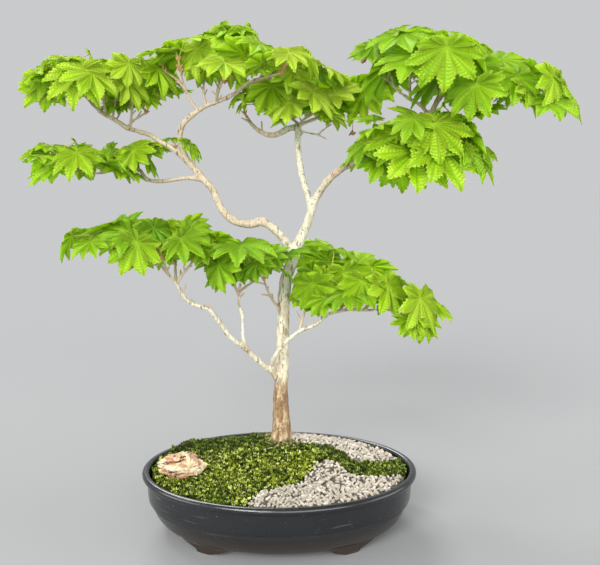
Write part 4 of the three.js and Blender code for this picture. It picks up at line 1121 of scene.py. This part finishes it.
def solidCorners(node):   # the corners of a CAD node and each one's neighbours, in millimetres
    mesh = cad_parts[node].data
    places = np.round(np.array([corner.co for corner in mesh.vertices]) / mm, 2)
    corners, number = np.unique(places, axis=0, return_inverse=True)
    number = number.ravel()
    near = [set() for _ in corners]
    for polygon in mesh.polygons:
        loop = [int(number[i]) for i in polygon.vertices]
        for i, corner in enumerate(loop):
            near[corner].update((loop[i - 1], loop[(i + 1) % len(loop)]))
    return corners, near


def readShoot(node):
    # an apex is the one corner with a neighbour at each tip and notch of its leaf; the rest of the
    # corners, but for a foot under each apex, are the stem's
    corners, near = solidCorners(node)
    leaves, stem = [], set(range(len(corners)))
    for apex, rim in enumerate(near):
        away = {i: np.linalg.norm(corners[i] - corners[apex]) for i in rim}
        if len(rim) != 2 * 5 or min(away.values()) < 3:
            continue
        tip, base = max(away, key=away.get), min(away, key=away.get)
        toTip, toBase = corners[tip] - corners[apex], corners[base] - corners[apex]
        normal = -(toTip + toBase / leaf["solidBaseNotch"])
        normal /= np.linalg.norm(normal)
        length = away[tip] / math.hypot(1, leaf["solidDroop"])
        forward = toTip + (leaf["solidDroop"] * length + leaf["solidApex"]) * normal
        forward -= normal * forward.dot(normal)
        forward /= np.linalg.norm(forward)
        matrix = np.eye(4)
        matrix[:3, 0], matrix[:3, 1], matrix[:3, 2] = forward, np.cross(normal, forward), normal
        matrix[:3, 3] = corners[apex]
        leaves.append((matrix, length))
        foot = {i for i in range(len(corners)) if np.linalg.norm(corners[i] - corners[apex]) < 3.2}
        stem -= rim | {apex} | foot
    stem = corners[sorted(stem)]
    stem = stem[np.argsort(stem[:, 2])]
    hub = stem[-2 * len(leaves):].mean(axis=0)
    return sorted(leaves, key=lambda found: found[0][0, 3]), hub


def turned(heading, pitch, roll):
    return (Matrix.Rotation(math.radians(heading), 4, "Z") @ Matrix.Rotation(math.radians(pitch), 4, "Y")
        @ Matrix.Rotation(math.radians(roll), 4, "X"))


def shootLeaves(leaves, poses, more):   # the matrix and length of each blade
    for (matrix, length), (lift, grow, roll) in zip(leaves, poses):
        if grow:
            yield matrix @ np.array(turned(0, -lift, 0)) @ np.array(turned(0, 0, roll)), length * grow
    for x, y, z, heading, pitch, roll, length in more:
        yield np.array(Matrix.Translation((x, y, z)) @ turned(heading, pitch, roll)), length


def makePetiole(hub, matrix):
    end = matrix[:3, 3] - matrix[:3, 2] * 0.5
    middle = (hub + end) / 2 + np.array([0, 0, 0.12 * np.linalg.norm(end - hub)])
    start, finish = leaf["petiole"]
    route = [[*hub, start], [*middle, (start + finish) / 2], [*end, finish]]
    return rollTube(curveThrough(route, 5), 6)


def makeBunch(hub, place, vary):   # dry wings on a thread
    sag = (hub + place) / 2 + (0, 0, 0.1 * np.linalg.norm(hub - place))
    thread = rollTube(curveThrough([[*hub, 0.6], [*sag, 0.5], [*place, 0.5]], 3), 5)
    wings = []
    for _ in range(7):
        direction = (vary.gauss(0, 1), vary.gauss(0, 1), vary.gauss(-0.4, 0.8))
        offset = [vary.gauss(0, 1.6) for _ in range(3)]
        wings.append(budOn(place + offset, direction, vary.uniform(3, 4.6), vary.uniform(1.0, 1.9)))
    return [thread] + wings


def madeOf(finish, pieces, name):
    piece = joined(pieces, name)
    piece.data.materials.append(finish)
    return piece


def makeShoots():
    blade, scales = leafGreen(), budFinish()
    stalk = twoTone("petiole", 0.5, (60, 3), ((0.46, 0.52, 0.07), (0.60, 0.34, 0.13)), (500, 2), 0.1)
    husk = twoTone("driedHusk", 0.75, (300, 3), ((0.24, 0.10, 0.05), (0.60, 0.34, 0.18)), (700, 2), 0.3)
    total = 0
    for number, (name, (twig, poses, more, seeds, padPaintedLight)) in enumerate(shoots.items()):
        vary = random.Random(number + 40)
        leaves, hub = readShoot("leaves_" + name)
        grown = list(shootLeaves(leaves, poses, more))
        # each shoot's tone is random, plus its pad's painted light and shade
        shootTone = 0.5 * vary.random() + padPaintedLight
        blades = [makeLeaf(matrix, length, shootTone + 0.5 * vary.random(), 100 * number + i)
            for i, (matrix, length) in enumerate(grown)]
        total += len(blades)
        foliage = madeOf(blade, blades, "foliage_" + name)
        modify(foliage, "SOLIDIFY", thickness=leaf["thickness"] * mm, offset=-1)
        smooth(foliage)
        tip, (stemStart, stemEnd) = twig[-1], leaf["stem"]
        middle = (tip + hub) / 2 + (hub - tip) * (0.1, 0.1, -0.1)
        stem = curveThrough([[*tip, stemStart], [*middle, stemStart], [*hub, stemEnd]], 2)
        stalks = [rollTube(stem, 8)] + [makePetiole(hub, matrix) for matrix, _ in grown]
        stalkPiece = madeOf(stalk, stalks, "stalks_" + name)
        smooth(stalkPiece)
        bracts = [budOn(tip, hub - tip, 3.4, 2.3), budOn(hub, (0, 0, 1), 2.6, 2.1)]
        bracts += bractsOn(tip, hub - tip) + bractsOn(hub - (0, 0, 2), (0, 0, 1))
        parts = [foliage, stalkPiece, madeOf(scales, bracts, "scales_" + name)]
        parts += [madeOf(husk, makeBunch(hub, place, vary), "seeds_" + name) for place in seeds]
        piece = joined(parts, "foliage_" + name)
        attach(piece, "root")
        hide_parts("leaves_" + name)
    print("foliage", total, "leaves")


def leafGreen():
    finish = Finish("mapleLeaf", Specular_IOR_Level=0.55)
    flat = finish.add("ShaderNodeTexCoord", output="UV")
    around, outward = finish.axis("x", flat), finish.axis("y", flat)
    across = (around * len(leaf["lobes"])).fromMiddle()
    midrib = 1 - finish.between(across, 0.02, 0.10)
    rung = (outward * 11 - across * 3.2).fromMiddle()
    sideVein = finish.between(rung, 0.5, 0.9) * finish.between(across, 0.04, 0.2)
    # leafTone: random for each shoot and leaf, plus each pad's painted light and shade
    tone = finish.attribute("leafTone")
    mottle = finish.noise(80, 4)
    speckle = finish.noise(420, 4, roughness=0.65)
    green = finish.ramp(tone * 0.6 + mottle * 0.45, (0.12, (0.18, 0.42, 0.005)), (0.36, (0.40, 0.68, 0.009)),
        (0.60, (0.62, 0.86, 0.018)), (0.86, (0.84, 0.97, 0.08)))
    green = finish.over(green, (sideVein * (0.15 + speckle * 0.6), (0.12, 0.32, 0.005)),
        (finish.between(speckle, 0.54, 0.66) * 0.6, (0.84, 0.95, 0.16)), (midrib * 0.5, (0.09, 0.22, 0.010)),
        (finish.between(outward, 0.94, 1.0) * 0.4, (0.66, 0.76, 0.10)))
    finish.set(Base_Color=green, Roughness=0.36 + mottle * 0.2)
    veins = finish.bump(1 - (midrib * 0.8 + sideVein * 0.6), 1.4 * mm)
    finish.set(Normal=finish.bump(speckle, 0.45 * mm, onto=veins))
    through = finish.add("ShaderNodeBsdfTranslucent", {}, (0.72, 1.0, 0.022, 1))
    surface = Signal(finish, finish.surface.outputs[0])
    both = finish.add("ShaderNodeMixShader", {}, 0.5, surface, through)
    finish.tree.links.new(both.socket, finish.output.inputs["Surface"])
    return finish.material


# the camera stands where the photo was taken
stage = {
    "camera": (0.030, -1.0539, 0.5109), "pitch": 8.092, "lens": 45,
    "floor": 60, "floorTone": (0.336, 0.338, 0.341), "sky": (0.98, 0.99, 1.0), "skyStrength": 0.60,
}
lamps = {
    # where each wide soft light comes from, how wide it is in degrees, and its strength
    "key": ((-0.8, -1.9, 1.15), 26, 2.6),
    "front": ((0.7, -1.9, 0.2), 50, 2.4),
    "left": ((-1.9, -0.5, 0.45), 40, 1.3),
    "right": ((1.9, -0.3, 0.45), 40, 1.0),
    "back": ((-0.36, 0.98, 1.0), 26, 1.4),
    "top": ((-0.55, 0.33, 1.0), 12, 0.6),
}


def makeStage():
    camera = startWith(bpy.ops.object.camera_add, location=stage["camera"],
        rotation=(math.radians(90 - stage["pitch"]), 0, 0))
    camera.data.lens = stage["lens"]
    camera.data.sensor_width = 36
    camera.data.clip_end = 150
    bpy.context.scene.camera = camera
    floor = startWith(bpy.ops.mesh.primitive_circle_add, vertices=96, radius=stage["floor"], fill_type="NGON")
    floor.name = "studio_floor"
    pale = Finish("paleFloor", Roughness=1, Specular_IOR_Level=0)
    pale.set(Base_Color=(*stage["floorTone"], 1))
    floor.data.materials.append(pale.material)
    world = bpy.data.worlds.new("studio")
    bpy.context.scene.world = world
    world.use_nodes = True
    sky = world.node_tree.nodes["Background"]
    sky.inputs["Color"].default_value = (*stage["sky"], 1)
    sky.inputs["Strength"].default_value = stage["skyStrength"]
    for name, (direction, width, strength) in lamps.items():
        lamp = startWith(bpy.ops.object.light_add, type="SUN", location=Vector(direction))
        lamp.name = name
        lamp.data.angle = math.radians(width)
        lamp.data.energy = strength
        lamp.rotation_euler = (-Vector(direction)).to_track_quat("-Z", "Y").to_euler()
    bpy.context.scene.view_settings.view_transform = "Standard"


makeStage()
makePot()
makeScreens()
finishSoil()
print("pot done")
makeMoss()
makeStraws()
makeGravel()
makeRock()
print("ground done")
makeTrunk()
makeTwigs()
makeShoots()
